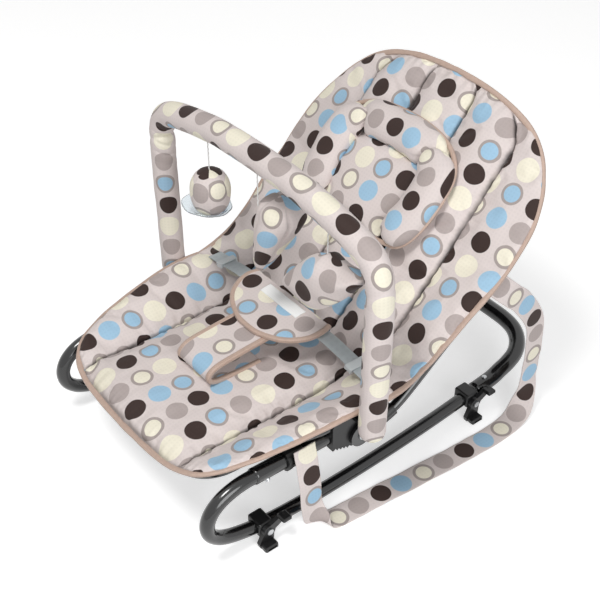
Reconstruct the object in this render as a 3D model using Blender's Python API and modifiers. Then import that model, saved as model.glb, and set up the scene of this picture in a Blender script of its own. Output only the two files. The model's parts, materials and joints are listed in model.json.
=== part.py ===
"""Baby rocker: steel rocker base with four fold-out stoppers, padded reclining sling seat and toy bar.

Axes: X across the seat (right is +X), +Y from the feet towards the head, Z up from the floor.
Every piece is one named object. The pieces of the two sides end in left or right.
"""

import math

import bmesh
import bpy
import numpy as np
from mathutils import Matrix, Vector

# Driving dimensions, in metres.
GAP = 0.0003              # between pieces that touch
RAIL_X = 0.200            # centre of each rocker rail from the middle
RAIL_R = 0.011            # steel rocker tube
TUBE_WALL = 0.0025        # wall at the open tube ends
ROCK_Y = -0.090           # lowest point of the rocker arc
ROCK_Z = 0.0135           # centre height of the rail there
ROCK_R = 2.34             # radius of the rocker arc
REAR_R = 0.0135           # rear cross tube, which takes the rail ends
REAR_Y = 0.338            # its straight back part
REAR_Z = 0.075
SOCKET_Y = 0.205          # where the rear tube starts
RAIL_END_Y = 0.245        # how far each rail goes into it
ARM_R = 0.0125            # arm tube from the hinge block to the hairpin
ARM_Y = (-0.240, -0.082)
ARM_Z = 0.127
ARM_FALL = 0.031          # drop of the arm per metre towards the hinge
LIMB_END_Y = -0.199       # how far the hairpin goes into the arm
HINGE_Y = -0.058          # recline axis
HINGE_Z = 0.113
BLOCK_X = (0.1855, 0.2165)
EAR_X = (0.2170, 0.2225)
EAR_R = 0.021
SEAT_TUBE_R = 0.007
BACK_TUBE_R = 0.008
BACK_TUBE_H = -0.0175     # back tube behind the plane of the back's edge
BACK_ANGLE = math.radians(45.4)
BACK_FOOT = (0.074, 0.211)  # a point of the back plane, Y and Z
BIND_R = 0.0033           # bead of the binding
PAD_GAP = 0.0041          # pad edge inside the bead's centre line
SEAT_PAD_GAP = 0.0020
PAD_THICK = 0.020
SEAM_X = 0.130            # seat seam from the middle
BAR_Y = -0.069            # plane of the toy bar
BAR_X = 0.253             # leg centre
BAR_TOP = 0.478
BAR_R = 0.0195            # padded sleeve
CORE_R = 0.005            # steel core of the toy bar
BAR_PIVOT_Z = 0.150
BAR_CAP_Z = 0.157         # where the sleeve starts
PIN_R = 0.005
TOY_X = {"ball": -0.127, "fig": -0.006, "kite": 0.149}  # string of each toy from the middle
TOY_FALL = {"ball": 0.0905, "fig": 0.0600, "kite": 0.0927}  # from the sleeve down to each toy's middle
FIG_LEAN = (0.0210, 0.0260)  # the fig hangs by its shoulder, so its top stands to the side, in X and Y
CLAMP_LEN = 0.024
CLAMP_X = (0.1845, 0.2155)
LEVER_X = (0.2160, 0.2230)
STOPPER_YZ = {"front": (-0.230, 0.026), "rear": (0.186, 0.030)}
BUTTON_R = 0.004
BUTTON_OUT = 0.003        # how far a snap button stands out
STRAP_W = 0.038
STRAP_T = 0.002
STRAP_X = 0.2575          # plane of the carry strap beside the back
TAB_X = STRAP_X - 0.0023
STRAP_UP = 0.125          # where its tab is sewn on, up the back
PILLOW_X = -0.0175        # the head pillow sits a little to the left
PILLOW_LIFT = 0.0360      # its roll's centre line in front of the back plane
PILLOW_HALF = (0.0290, 0.0180)  # half width and half thickness of the roll
BELT_W = 0.025
BELT_T = 0.0016
SIDES = (("left", -1), ("right", 1))

# Right half of the seat's edge from the front middle to the waist, then of the back's edge to its top middle.
SEAT_EDGE = ((0, -0.328, 0.128), (0.060, -0.327, 0.130), (0.115, -0.323, 0.134), (0.155, -0.309, 0.141),
             (0.180, -0.283, 0.149), (0.197, -0.243, 0.156), (0.210, -0.195, 0.162), (0.220, -0.140, 0.168),
             (0.226, -0.095, 0.172), (0.229, -0.060, 0.171), (0.230, -0.036, 0.169))
BACK_EDGE = ((0.231, -0.027, 0.168), (0.234, 0.010, 0.176), (0.235, 0.045, 0.193), (0.238, 0.080, 0.219),
             (0.244, 0.125, 0.260), (0.248, 0.170, 0.298), (0.248, 0.205, 0.334), (0.242, 0.238, 0.368),
             (0.226, 0.266, 0.399), (0.202, 0.288, 0.430), (0.170, 0.303, 0.455), (0.125, 0.309, 0.474),
             (0.070, 0.311, 0.486), (0, 0.311, 0.491))
# Half width and height up the back plane of the back tube, from the straight side to the top.
BACK_TUBE = ((0.2225, -0.006), (0.2265, 0.040), (0.232, 0.095), (0.2350, 0.145), (0.2345, 0.190),
             (0.228, 0.230), (0.213, 0.265), (0.189, 0.294), (0.157, 0.316), (0.120, 0.330), (0.060, 0.339),
             (0, 0.342))

for old in list(bpy.data.objects):
    bpy.data.objects.remove(old, do_unlink=True)
scene = bpy.context.scene
PARTS = bpy.data.collections.new("baby_rocker")
CUTTERS = bpy.data.collections.new("cutters")
scene.collection.children.link(PARTS)
scene.collection.children.link(CUTTERS)
CUTTERS.hide_render = True


def material(name, colour, metallic, rough):
    """A new Principled material."""
    made = bpy.data.materials.new(name)
    made.use_nodes = True
    shader = made.node_tree.nodes["Principled BSDF"]
    shader.inputs["Base Color"].default_value = (*colour, 1)
    shader.inputs["Metallic"].default_value = metallic
    shader.inputs["Roughness"].default_value = rough
    made.diffuse_color = (*colour, 1)
    return made


LOOKS = {
    "black_steel": ((0.012, 0.012, 0.013), 0.4, 0.25),
    "black_plastic": ((0.02, 0.02, 0.022), 0.0, 0.4),
    "zinc": ((0.62, 0.62, 0.64), 1.0, 0.3),
    "fabric": ((0.62, 0.55, 0.52), 0.0, 0.9),
    "binding": ((0.55, 0.36, 0.27), 0.0, 0.6),
    "webbing": ((0.50, 0.54, 0.57), 0.0, 0.8),
    "label": ((0.92, 0.92, 0.92), 0.0, 0.7),
    "clear": ((0.80, 0.84, 0.86), 0.0, 0.1),
}


def finish(obj, name, look, collection=PARTS, smooth=True):
    """Names the object, gives it its own material, puts it in its collection and sets its shading."""
    obj.name = name
    obj.data.name = name
    for holder in list(obj.users_collection):
        holder.objects.unlink(obj)
    collection.objects.link(obj)
    if collection is CUTTERS:
        obj.hide_render = True
        obj.display_type = "WIRE"
        return obj
    colour, metallic, rough = LOOKS[look]
    obj.data.materials.clear()
    obj.data.materials.append(material(name, colour, metallic, rough))
    obj.data.polygons.foreach_set("use_smooth", [smooth] * len(obj.data.polygons))
    return obj


def tidy(mesh):
    """Welds a mesh and turns its faces outwards."""
    bm = bmesh.new()
    bm.from_mesh(mesh)
    bmesh.ops.remove_doubles(bm, verts=bm.verts, dist=0.00001)
    bmesh.ops.recalc_face_normals(bm, faces=bm.faces)
    bm.to_mesh(mesh)
    bm.free()
    return mesh


def evaluated(obj):
    """The object as a plain mesh, with its modifiers applied, in the same place."""
    graph = bpy.context.evaluated_depsgraph_get()
    graph.update()
    mesh = bpy.data.meshes.new_from_object(obj.evaluated_get(graph))
    made = bpy.data.objects.new(obj.name, tidy(mesh))
    made.matrix_world = obj.matrix_world.copy()
    scene.collection.objects.link(made)
    bpy.data.objects.remove(obj, do_unlink=True)
    return made


def applied(obj):
    """Moves the object's place into its mesh."""
    obj.data.transform(obj.matrix_world)
    obj.matrix_world = Matrix.Identity(4)
    return obj


def pivot(name, point):
    """Puts the origin of a moving piece on its joint's axis."""
    obj = PARTS.objects[name]
    obj.data.transform(Matrix.Translation(-Vector(point)))
    obj.location = point


def from_cage(points, faces):
    """A mesh from points and faces, for the soft forms and straps that are lofts between unlike sections."""
    mesh = bpy.data.meshes.new("cage")
    mesh.from_pydata([tuple(p) for p in points], [], faces)
    obj = bpy.data.objects.new("cage", tidy(mesh))
    scene.collection.objects.link(obj)
    return obj


def smooth_path(points, steps):
    """Catmull-Rom samples through the points, steps to each span."""
    p = np.array(points, float)
    ends = np.vstack([2 * p[0] - p[1], p, 2 * p[-1] - p[-2]])
    out = []
    for i in range(len(p) - 1):
        a, b, c, d = ends[i:i + 4]
        for t in np.linspace(0, 1, steps, endpoint=False):
            out.append(0.5 * (2 * b + (c - a) * t + (2 * a - 5 * b + 4 * c - d) * t * t
                              + (3 * b - a - 3 * c + d) * t ** 3))
    out.append(p[-1])
    return np.array(out)


def mirrored(points):
    """The right half's points from the middle outwards, with their mirror images before them."""
    p = np.array(points, float)
    return np.vstack([(p * (-1, 1, 1))[:0:-1], p])


def tube(points, radius, sides=12, radii=None):
    """A round bar along the points, with closed ends."""
    curve = bpy.data.curves.new("path", "CURVE")
    curve.dimensions = "3D"
    curve.bevel_depth = radius
    curve.bevel_resolution = (sides - 4) // 2
    curve.use_fill_caps = True
    spline = curve.splines.new("POLY")
    spline.points.add(len(points) - 1)
    for i, p in enumerate(points):
        spline.points[i].co = (*p, 1)
        spline.points[i].radius = 1 if radii is None else radii[i]
    obj = bpy.data.objects.new("tube", curve)
    scene.collection.objects.link(obj)
    return evaluated(obj)


def bar(start, end, radius, sides=24):
    """A round bar between two points."""
    a, b = Vector(start), Vector(end)
    bm = bmesh.new()
    bmesh.ops.create_cone(bm, cap_ends=True, segments=sides, radius1=radius, radius2=radius,
                          depth=(b - a).length)
    mesh = bpy.data.meshes.new("bar")
    bm.to_mesh(mesh)
    bm.free()
    obj = bpy.data.objects.new("bar", mesh)
    turn = (b - a).to_track_quat("Z", "Y").to_matrix().to_4x4()
    mesh.transform(Matrix.Translation((a + b) / 2) @ turn)
    scene.collection.objects.link(obj)
    return obj


def box(low, high, bevel=0.0, segments=2):
    """A box between two corners, with its edges rounded."""
    lo, hi = np.minimum(low, high), np.maximum(low, high)
    bm = bmesh.new()
    bmesh.ops.create_cube(bm, size=1)
    bmesh.ops.scale(bm, vec=hi - lo, verts=bm.verts)
    bmesh.ops.translate(bm, vec=(lo + hi) / 2, verts=bm.verts)
    mesh = bpy.data.meshes.new("box")
    bm.to_mesh(mesh)
    bm.free()
    obj = bpy.data.objects.new("box", mesh)
    scene.collection.objects.link(obj)
    if bevel:
        round_off = obj.modifiers.new("round", "BEVEL")
        round_off.width = bevel
        round_off.segments = segments
        obj = evaluated(obj)
    return obj


def plate(outline, x_low, x_high):
    """A flat piece with a (y, z) outline between two x planes: a filled 2D curve, extruded."""
    curve = bpy.data.curves.new("outline", "CURVE")
    curve.dimensions = "2D"
    curve.fill_mode = "BOTH"
    curve.extrude = abs(x_high - x_low) / 2
    spline = curve.splines.new("POLY")
    spline.points.add(len(outline) - 1)
    for point, (y, z) in zip(spline.points, outline):
        point.co = (y, z, 0, 1)
    spline.use_cyclic_u = True
    obj = bpy.data.objects.new("plate", curve)
    scene.collection.objects.link(obj)
    obj = evaluated(obj)
    upright = Matrix(((0, 0, 1, (x_low + x_high) / 2), (1, 0, 0, 0), (0, 1, 0, 0), (0, 0, 0, 1)))
    obj.data.transform(upright)
    return obj


def join(target, others, operation="UNION"):
    """Applies an exact Boolean of each other object and removes it."""
    for other in others:
        step = target.modifiers.new("boolean", "BOOLEAN")
        step.operation = operation
        step.solver = "EXACT"
        step.object = other
        target = evaluated(target)
        bpy.data.objects.remove(other, do_unlink=True)
    return target


def cut(target, others):
    return join(target, others, "DIFFERENCE")


def subdivided(obj, levels=1):
    step = obj.modifiers.new("soft", "SUBSURF")
    step.levels = levels
    step.render_levels = levels
    return evaluated(obj)


def ribbon(path, widths, thick):
    """A flat strap: a rectangle swept along the path, its width along the given vectors."""
    path, widths = np.array(path, float), np.array(widths, float)
    along = np.gradient(path, axis=0)
    along /= np.linalg.norm(along, axis=1)[:, None]
    normal = np.cross(along, widths)
    normal *= thick / 2 / np.linalg.norm(normal, axis=1)[:, None]
    points = []
    for p, w, n in zip(path, widths / 2, normal):
        points += [p - w - n, p + w - n, p + w + n, p - w + n]
    faces = [(0, 1, 2, 3), tuple(range(len(points) - 4, len(points)))]
    for i in range(0, len(points) - 4, 4):
        faces += [(i + j, i + (j + 1) % 4, i + 4 + (j + 1) % 4, i + 4 + j) for j in range(4)]
    return from_cage(points, faces)


def slab(top, bottom, levels=1):
    """A closed soft slab between two grids of points of the same size, rounded by subdivision."""
    rows, cols = top.shape[:2]
    points = np.vstack([top.reshape(-1, 3), bottom.reshape(-1, 3)])
    faces = []

    def at(i, j, k):
        return k * rows * cols + i * cols + j

    for k in (0, 1):
        faces += [(at(i, j, k), at(i, j + 1, k), at(i + 1, j + 1, k), at(i + 1, j, k))
                  for i in range(rows - 1) for j in range(cols - 1)]
    for j in range(cols - 1):
        for i in (0, rows - 1):
            faces.append((at(i, j, 0), at(i, j + 1, 0), at(i, j + 1, 1), at(i, j, 1)))
    for i in range(rows - 1):
        for j in (0, cols - 1):
            faces.append((at(i, j, 0), at(i + 1, j, 0), at(i + 1, j, 1), at(i, j, 1)))
    return subdivided(from_cage(points, faces), levels)


BACK_N = np.array((0, -math.sin(BACK_ANGLE), math.cos(BACK_ANGLE)))
BACK_W = np.array((0, math.cos(BACK_ANGLE), math.sin(BACK_ANGLE)))


def back_point(x, up, out=0.0):
    """A point of the back: x across, up along the back plane, out towards the child."""
    return np.array((x, *BACK_FOOT)) + BACK_W * up + BACK_N * out


def rocker_z(y):
    return ROCK_Z + (y - ROCK_Y) ** 2 / (2 * ROCK_R)


def arm_z(y):
    return ARM_Z - (y - ARM_Y[0]) * ARM_FALL


def ease(t, low, high):
    """0 below low, 1 above high, smooth between."""
    t = np.clip((t - low) / (high - low), 0, 1)
    return t * t * (3 - 2 * t)


HAIRPIN = ((-0.268, 0.1255), (-0.293, 0.1175), (-0.311, 0.1030), (-0.3195, 0.0835), (-0.317, 0.0635),
           (-0.305, 0.0475), (-0.287, 0.0365), (-0.262, 0.0280), (-0.233, 0.0217), (-0.200, 0.0175),
           (-0.165, 0.0149), (-0.130, 0.0140))


def rail_path(side):
    """Centre line of a rail: the limb in the arm, the hairpin at the foot end, then the rocker arc."""
    points = [(y, arm_z(y)) for y in (LIMB_END_Y, -0.220, -0.242)]
    points += list(HAIRPIN)
    points += [(y, rocker_z(y)) for y in (-0.09, -0.02, 0.05, 0.12, 0.19, 0.22, RAIL_END_Y)]
    return np.array([(side * RAIL_X, y, z) for y, z in points])


def rail_height(y):
    """Height of the rail's centre line on the rocker side of the hairpin."""
    low = rail_path(1)[-15:]
    return float(np.interp(y, low[:, 1], low[:, 2]))


def rail_slope(y):
    return (rail_height(y + 0.01) - rail_height(y - 0.01)) / 0.02


def snap_place(kind, side):
    """Centre on the tube's axis and outward direction of a snap button."""
    if kind == "rear":
        return np.array((side * RAIL_X, 0.226, rocker_z(0.226))), np.array((0, 0, 1.0))
    half = math.sqrt(0.5)
    return np.array((side * RAIL_X, -0.222, arm_z(-0.222))), np.array((side * half, 0, -half))


def snap_cutter(kind, side):
    centre, out = snap_place(kind, side)
    return bar(centre + out * 0.004, centre + out * 0.02, BUTTON_R + GAP, 16)


def build_rails():
    for label, side in SIDES:
        path = rail_path(side)
        rail = tube(path, RAIL_R, 12)
        hollow = RAIL_R - TUBE_WALL
        front = tube([(side * RAIL_X, y, arm_z(y)) for y in (LIMB_END_Y + 0.01, -0.220, -0.236)], hollow, 12)
        rear = tube([(side * RAIL_X, y, rocker_z(y)) for y in (0.208, 0.230, RAIL_END_Y + 0.01)], hollow, 12)
        rail = cut(rail, [front, rear, snap_cutter("rear", side), snap_cutter("front", side)])
        finish(rail, f"base_rail_{label}", "black_steel")


def build_rear_tube():
    half = [(0, REAR_Y, REAR_Z), (0.10, REAR_Y, REAR_Z - 0.0005), (0.140, REAR_Y - 0.001, REAR_Z - 0.002),
            (0.165, 0.331, 0.070), (0.184, 0.318, 0.0645), (0.196, 0.300, 0.0580), (0.200, 0.280, 0.0510),
            (0.200, 0.262, 0.0440)]
    half += [(RAIL_X, y, rocker_z(y)) for y in (0.245, 0.225, SOCKET_Y)]
    body = tube(mirrored(half), REAR_R, 14)
    cutters = []
    for _, side in SIDES:
        ys = (SOCKET_Y - 0.01, 0.215, 0.230, RAIL_END_Y + 0.002)
        cutters.append(tube([(side * RAIL_X, y, rocker_z(y)) for y in ys], RAIL_R + 0.0004, 16))
        cutters.append(snap_cutter("rear", side))
    finish(cut(body, cutters), "rear_cross_tube", "black_steel")


def build_arms():
    for label, side in SIDES:
        x = side * RAIL_X
        arm = bar((x, ARM_Y[0], arm_z(ARM_Y[0])), (x, ARM_Y[1], arm_z(ARM_Y[1])), ARM_R, 16)
        inner = bar((x, ARM_Y[0] - 0.01, arm_z(ARM_Y[0] - 0.01)),
                    (x, LIMB_END_Y + 0.001, arm_z(LIMB_END_Y + 0.001)), RAIL_R + 0.0004, 16)
        finish(cut(arm, [inner, snap_cutter("front", side)]), f"seat_arm_{label}", "black_steel")
        ring = bar((x, -0.188, arm_z(-0.188)), (x, -0.158, arm_z(-0.158)), ARM_R + 0.0035, 16)
        lip = bar((x, -0.188, arm_z(-0.188)), (x, -0.182, arm_z(-0.182)), ARM_R + 0.0045, 16)
        hole = bar((x, -0.195, arm_z(-0.195)), (x, -0.150, arm_z(-0.150)), ARM_R + GAP + 0.0001, 16)
        finish(cut(join(ring, [lip]), [hole]), f"arm_collar_{label}", "black_plastic")


SEAT_TUBE_END = np.array((0.206, -0.085, 0.1455))
SEAT_TUBE_WAY = np.array((0, -1, 0.03))


def build_seat_tube():
    """The wire inside the seat's hem: it runs inside the edge at the front and ends in the hinge blocks."""
    half = [(0, -0.307, 0.1090), (0.060, -0.306, 0.1100), (0.110, -0.302, 0.1120), (0.143, -0.290, 0.1180),
            (0.165, -0.268, 0.1270), (0.178, -0.238, 0.1390), (0.188, -0.200, 0.1478),
            (0.1925, -0.182, 0.1490), (0.200, -0.158, 0.1492)]
    half += [tuple(SEAT_TUBE_END + SEAT_TUBE_WAY * reach) for reach in (0.036, 0.018, 0)]
    finish(tube(smooth_path(mirrored(half), 2), SEAT_TUBE_R, 8), "seat_frame_tube", "black_steel")


def build_blocks():
    for label, side in SIDES:
        x0, x1 = side * BLOCK_X[0], side * BLOCK_X[1]
        outline = [(-0.110, 0.151), (-0.110, 0.1060)]
        for i in range(5):
            y, z = -0.1075 + 0.0065 * i, 0.1050 - 0.0024 * i
            outline += [(y, z), (y + 0.0035, z + 0.0030)]
        outline += [(-0.0740, 0.0950), (-0.0580, 0.0910), (-0.0420, 0.0960), (-0.0350, 0.1080),
                    (-0.0350, 0.1220), (-0.0420, 0.1400), (-0.0520, 0.1540), (-0.0640, 0.1590),
                    (-0.1040, 0.1560)]
        block = plate(outline, x0, x1)
        x = side * RAIL_X
        arm = bar((x, -0.12, arm_z(-0.12)), (x, ARM_Y[1] + GAP, arm_z(ARM_Y[1])), ARM_R + GAP, 16)
        end = SEAT_TUBE_END * (side, 1, 1)
        seat = bar(end + SEAT_TUBE_WAY * 0.034, end - SEAT_TUBE_WAY * GAP, SEAT_TUBE_R + 0.0005, 16)
        pin = bar((side * 0.2035, BAR_Y, BAR_PIVOT_Z), (side * 0.23, BAR_Y, BAR_PIVOT_Z), PIN_R + GAP, 20)
        rivet = bar((side * 0.18, HINGE_Y, HINGE_Z), (side * 0.23, HINGE_Y, HINGE_Z), 0.0043, 20)
        relief = box((side * 0.180, -0.12, 0.1500), (side * 0.1980, -0.03, 0.1700))
        block = cut(block, [arm, seat, pin, rivet, relief])
        finish(block, f"hinge_block_{label}", "black_plastic", smooth=False)
        shank = bar((side * (BLOCK_X[0] - 0.002), HINGE_Y, HINGE_Z),
                    (side * 0.2240, HINGE_Y, HINGE_Z), 0.0040, 20)
        head = bar((side * (EAR_X[1] + GAP), HINGE_Y, HINGE_Z), (side * 0.2250, HINGE_Y, HINGE_Z), 0.0075, 20)
        tail = bar((side * (BLOCK_X[0] - 0.003), HINGE_Y, HINGE_Z),
                   (side * (BLOCK_X[0] - GAP), HINGE_Y, HINGE_Z), 0.0065, 20)
        finish(join(shank, [head, tail]), f"hinge_rivet_{label}", "zinc")


def build_stoppers():
    for place, (y, z) in STOPPER_YZ.items():
        slope = rail_slope(y)
        for label, side in SIDES:
            low, high = side * CLAMP_X[0], side * CLAMP_X[1]
            mid = rail_height(y)
            reach = CLAMP_LEN / 2
            clamp = box((low, y - reach, mid - 0.0095), (high, y + reach, mid + 0.0155), 0.003)
            rise = 0.03 * slope
            bore = bar((side * RAIL_X, y - 0.03, mid - rise), (side * RAIL_X, y + 0.03, mid + rise),
                       RAIL_R + 0.0006, 20)
            mouth = box((side * 0.193, y - 0.02, 0), (side * 0.207, y + 0.02, mid), 0)
            hole = bar((side * 0.2121, y, z), (side * 0.25, y, z), 0.0028, 16)
            clamp = cut(clamp, [bore, mouth, hole])
            finish(clamp, f"stopper_clamp_{place}_{label}", "black_plastic", smooth=False)

            head = bar((side * (LEVER_X[1] + GAP), y, z), (side * 0.2255, y, z), 0.0052, 20)
            shank = bar((side * 0.2124, y, z), (side * 0.2245, y, z), 0.0025, 16)
            finish(join(head, [shank]), f"stopper_rivet_{place}_{label}", "zinc")
            build_lever(place, label, side, y, z)


def build_lever(place, label, side, y, z):
    """Foot paddle below, boss round the rivet, thumb tab above and behind."""
    face, back = side * LEVER_X[0], side * LEVER_X[1]
    boss = bar((face, y, z), (back, y, z), 0.0105, 20)
    leg = plate([(y - 0.0165, 0.0), (y + 0.0065, 0.0), (y + 0.0085, z), (y - 0.0080, z + 0.004),
                 (y - 0.0185, 0.008)], face, back)
    pad = box((face, y - 0.0165, 0.0), (side * 0.2360, y + 0.0065, 0.0095), 0.0020, 1)
    arm = plate([(y - 0.004, z + 0.008), (y + 0.006, z - 0.003), (y + 0.031, z + 0.011),
                 (y + 0.026, z + 0.020)], face, back)
    tab = box((face, y + 0.017, z + 0.0125), (side * 0.2340, y + 0.033, z + 0.0195), 0.0020, 1)
    lever = join(boss, [leg, arm, pad, tab])
    hole = bar((side * 0.2, y, z), (side * 0.24, y, z), 0.0028, 16)
    recess = box((side * 0.2335, y - 0.013, 0.003), (side * 0.2400, y + 0.003, 0.0070), 0)
    finish(cut(lever, [hole, recess]), f"stopper_lever_{place}_{label}", "black_plastic", smooth=False)


def build_buttons():
    for kind, radius in (("rear", REAR_R), ("front", ARM_R)):
        for label, side in SIDES:
            centre, out = snap_place(kind, side)
            stem = bar(centre + out * 0.0035, centre + out * (radius + BUTTON_OUT - 0.0012), BUTTON_R, 16)
            crown = bar(centre + out * (radius - 0.002), centre + out * (radius + BUTTON_OUT),
                        BUTTON_R * 0.7, 16)
            flange = bar(centre + out * 0.0030, centre + out * 0.0048, BUTTON_R + 0.0017, 16)
            finish(join(stem, [crown, flange]), f"snap_button_{kind}_{label}", "zinc")


def build_seat_pad():
    """Three quilted panels between the seams, sides rising to the edge, front rolled over the frame."""
    fine = smooth_path(SEAT_EDGE, 12)
    rows = (-0.3235, -0.312, -0.285, -0.235, -0.175, -0.115, -0.070, -0.038)
    order = np.argsort(fine[:, 1])
    crease = waist_row()
    top, bottom = [], []
    for y in rows:
        edge_x = float(np.interp(y, fine[order, 1], fine[order, 0])) - SEAT_PAD_GAP
        edge_z = float(np.interp(y, fine[order, 1], fine[order, 2]))
        seam = min(SEAM_X, 0.80 * edge_x)
        near = min(edge_x - 0.018, 0.205)
        xs = (0, 0.5 * seam, seam - 0.014, seam, seam + 0.014, (seam + near) / 2 + 0.004, near, edge_x)
        roll = ease(y, -0.322, -0.290)
        lie = 0.1300 + 0.0125 * roll
        line_t, line_b = [], []
        bow = 0.034 * ease(y, -0.150, -0.038)
        for k, x in enumerate(xs):
            share = x / edge_x
            climb = ease(share, 0.62, 1.0) if y > -0.28 else share ** 4
            height = lie + (edge_z - lie) * climb
            puff = (0.006, 0.005, 0.001, -0.006, 0.001, 0.007, 0.004, 0.0)[k] * roll
            ahead = bow * (1 - ease(share, 0.25, 0.98))
            thick = (PAD_THICK, PAD_THICK, 0.018, 0.012, 0.016, 0.013, 0.0055, 0.0045)[k]
            thick = 0.006 + (thick - 0.006) * roll if thick > 0.006 else thick
            z = height + puff
            if y == rows[-1]:
                ahead = float(np.interp(x, crease[:, 0], crease[:, 1])) - 0.006 - y
                z = float(np.interp(x, crease[:, 0], crease[:, 2])) + 0.002
            if y == rows[0]:
                ahead = float(np.interp(x, fine[:, 0], fine[:, 1])) + SEAT_PAD_GAP + 0.0014 - y
            line_t.append((x, y + ahead, z))
            line_b.append((x, y + ahead, z - thick))
        top.append(mirrored(line_t))
        bottom.append(mirrored(line_b))
    finish(slab(np.array(top), np.array(bottom)), "seat_pad", "fabric")


def waist_row(count=12):
    """The back pad's lowest row, from the middle to the side: across, Y, Z."""
    edge = smooth_path(BACK_EDGE, 12)
    run = np.r_[0, np.cumsum(np.linalg.norm(np.diff(edge, axis=0), axis=1))]
    start = np.array([np.interp(0.03 * run[-1], run, edge[:, k]) for k in range(3)])
    up = float((start - back_point(start[0], 0)) @ BACK_W)
    out = float((start - back_point(start[0], 0)) @ BACK_N)
    shares = np.linspace(0, 1, count)
    level = 0.002 + (out - 0.002) * ease(shares, 0.45, 1.0)
    reach = start[0] - PAD_GAP
    return np.array([back_point(share * reach, up, rise) for share, rise in zip(shares, level)])


def build_back_pad():
    """Five quilted panels up the back, hips raised at the waist, crown towards the top."""
    stations = (0.03, 0.12, 0.26, 0.42, 0.57, 0.70, 0.80, 0.875)
    fine = smooth_path(BACK_EDGE, 12)
    run = np.r_[0, np.cumsum(np.linalg.norm(np.diff(fine, axis=0), axis=1))]
    run /= run[-1]
    top, bottom = [], []
    for s in stations:
        edge = np.array([np.interp(s, run, fine[:, k]) for k in range(3)])
        up = float((edge - back_point(edge[0], 0)) @ BACK_W)
        out = float((edge - back_point(edge[0], 0)) @ BACK_N)
        edge_x = edge[0] - PAD_GAP
        outer, inner = min(0.150, 0.72 * edge_x), min(0.050, 0.26 * edge_x)
        near = edge_x - 0.022
        xs = (0, inner - 0.010, inner, inner + 0.010, (inner + outer) / 2,
              outer - 0.011, outer, outer + 0.011, near, edge_x)
        high = ease(up, 0.05, 0.33)
        line_t, line_b = [], []
        for k, x in enumerate(xs):
            share = x / edge_x
            centre = 0.002 + 0.020 * high
            level = centre + (out - centre) * ease(share, 0.45, 1.0)
            puff = (0.006, 0.004, -0.006, 0.004, 0.008, 0.003, -0.008, 0.004, 0.006, 0.0)[k]
            arch = 0.016 * high * (1 - share ** 2)
            thick = (0.024, 0.022, 0.015, 0.022, 0.024, 0.021, 0.013, 0.019, 0.010, 0.005)[k]
            if s == stations[-1]:
                rim = np.array([np.interp(-x, -fine[:, 0], fine[:, a]) for a in range(3)]) - back_point(x, 0)
                arch = float(rim @ BACK_W) - PAD_GAP - 0.0027 - up
                level, puff, thick = float(rim @ BACK_N), 0.0, 0.006
            place = back_point(x, up + arch, level + puff)
            line_t.append(place)
            line_b.append(place - BACK_N * thick)
        top.append(mirrored(line_t))
        bottom.append(mirrored(line_b))
    finish(slab(np.array(top), np.array(bottom)), "back_pad", "fabric")


def build_bindings():
    finish(tube(smooth_path(mirrored(SEAT_EDGE), 2), BIND_R, 6), "seat_binding", "binding")
    finish(tube(smooth_path(mirrored(BACK_EDGE[::-1]), 2), BIND_R, 6), "back_binding", "binding")


def build_back_frame():
    lower = [(0.2197, -0.018, 0.1230), (0.2197, 0.006, 0.1310), (0.2205, 0.036, 0.1530)]
    half = lower + [tuple(back_point(x, up, BACK_TUBE_H)) for x, up in BACK_TUBE]
    half = np.array(half)[::-1]
    finish(tube(mirrored(half), BACK_TUBE_R, 10), "back_frame_tube", "black_steel")
    start, ahead = np.array(lower[0]), np.array(lower[1])
    way = (ahead - start) / np.linalg.norm(ahead - start)
    for label, side in SIDES:
        flip = np.array((side, 1, 1))
        face, back = side * EAR_X[0], side * EAR_X[1]
        disc = bar((face, HINGE_Y, HINGE_Z), (back, HINGE_Y, HINGE_Z), EAR_R, 28)
        strip = plate([(HINGE_Y, HINGE_Z - 0.016), (start[1] + 0.003, start[2] - 0.0085),
                       (start[1] + 0.003, start[2] + 0.0095), (HINGE_Y, HINGE_Z + 0.018)], face, back)
        socket = bar((start - way * 0.004) * flip, (start + way * 0.020) * flip, BACK_TUBE_R + 0.0030, 20)
        bore = bar((start - way * GAP) * flip, (start + way * 0.03) * flip, BACK_TUBE_R + GAP, 20)
        hole = bar((side * 0.2, HINGE_Y, HINGE_Z), (side * 0.24, HINGE_Y, HINGE_Z), 0.0043, 20)
        ear = cut(join(disc, [strip, socket]), [bore, hole])
        finish(ear, f"recline_ear_{label}", "black_steel", smooth=False)


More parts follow.
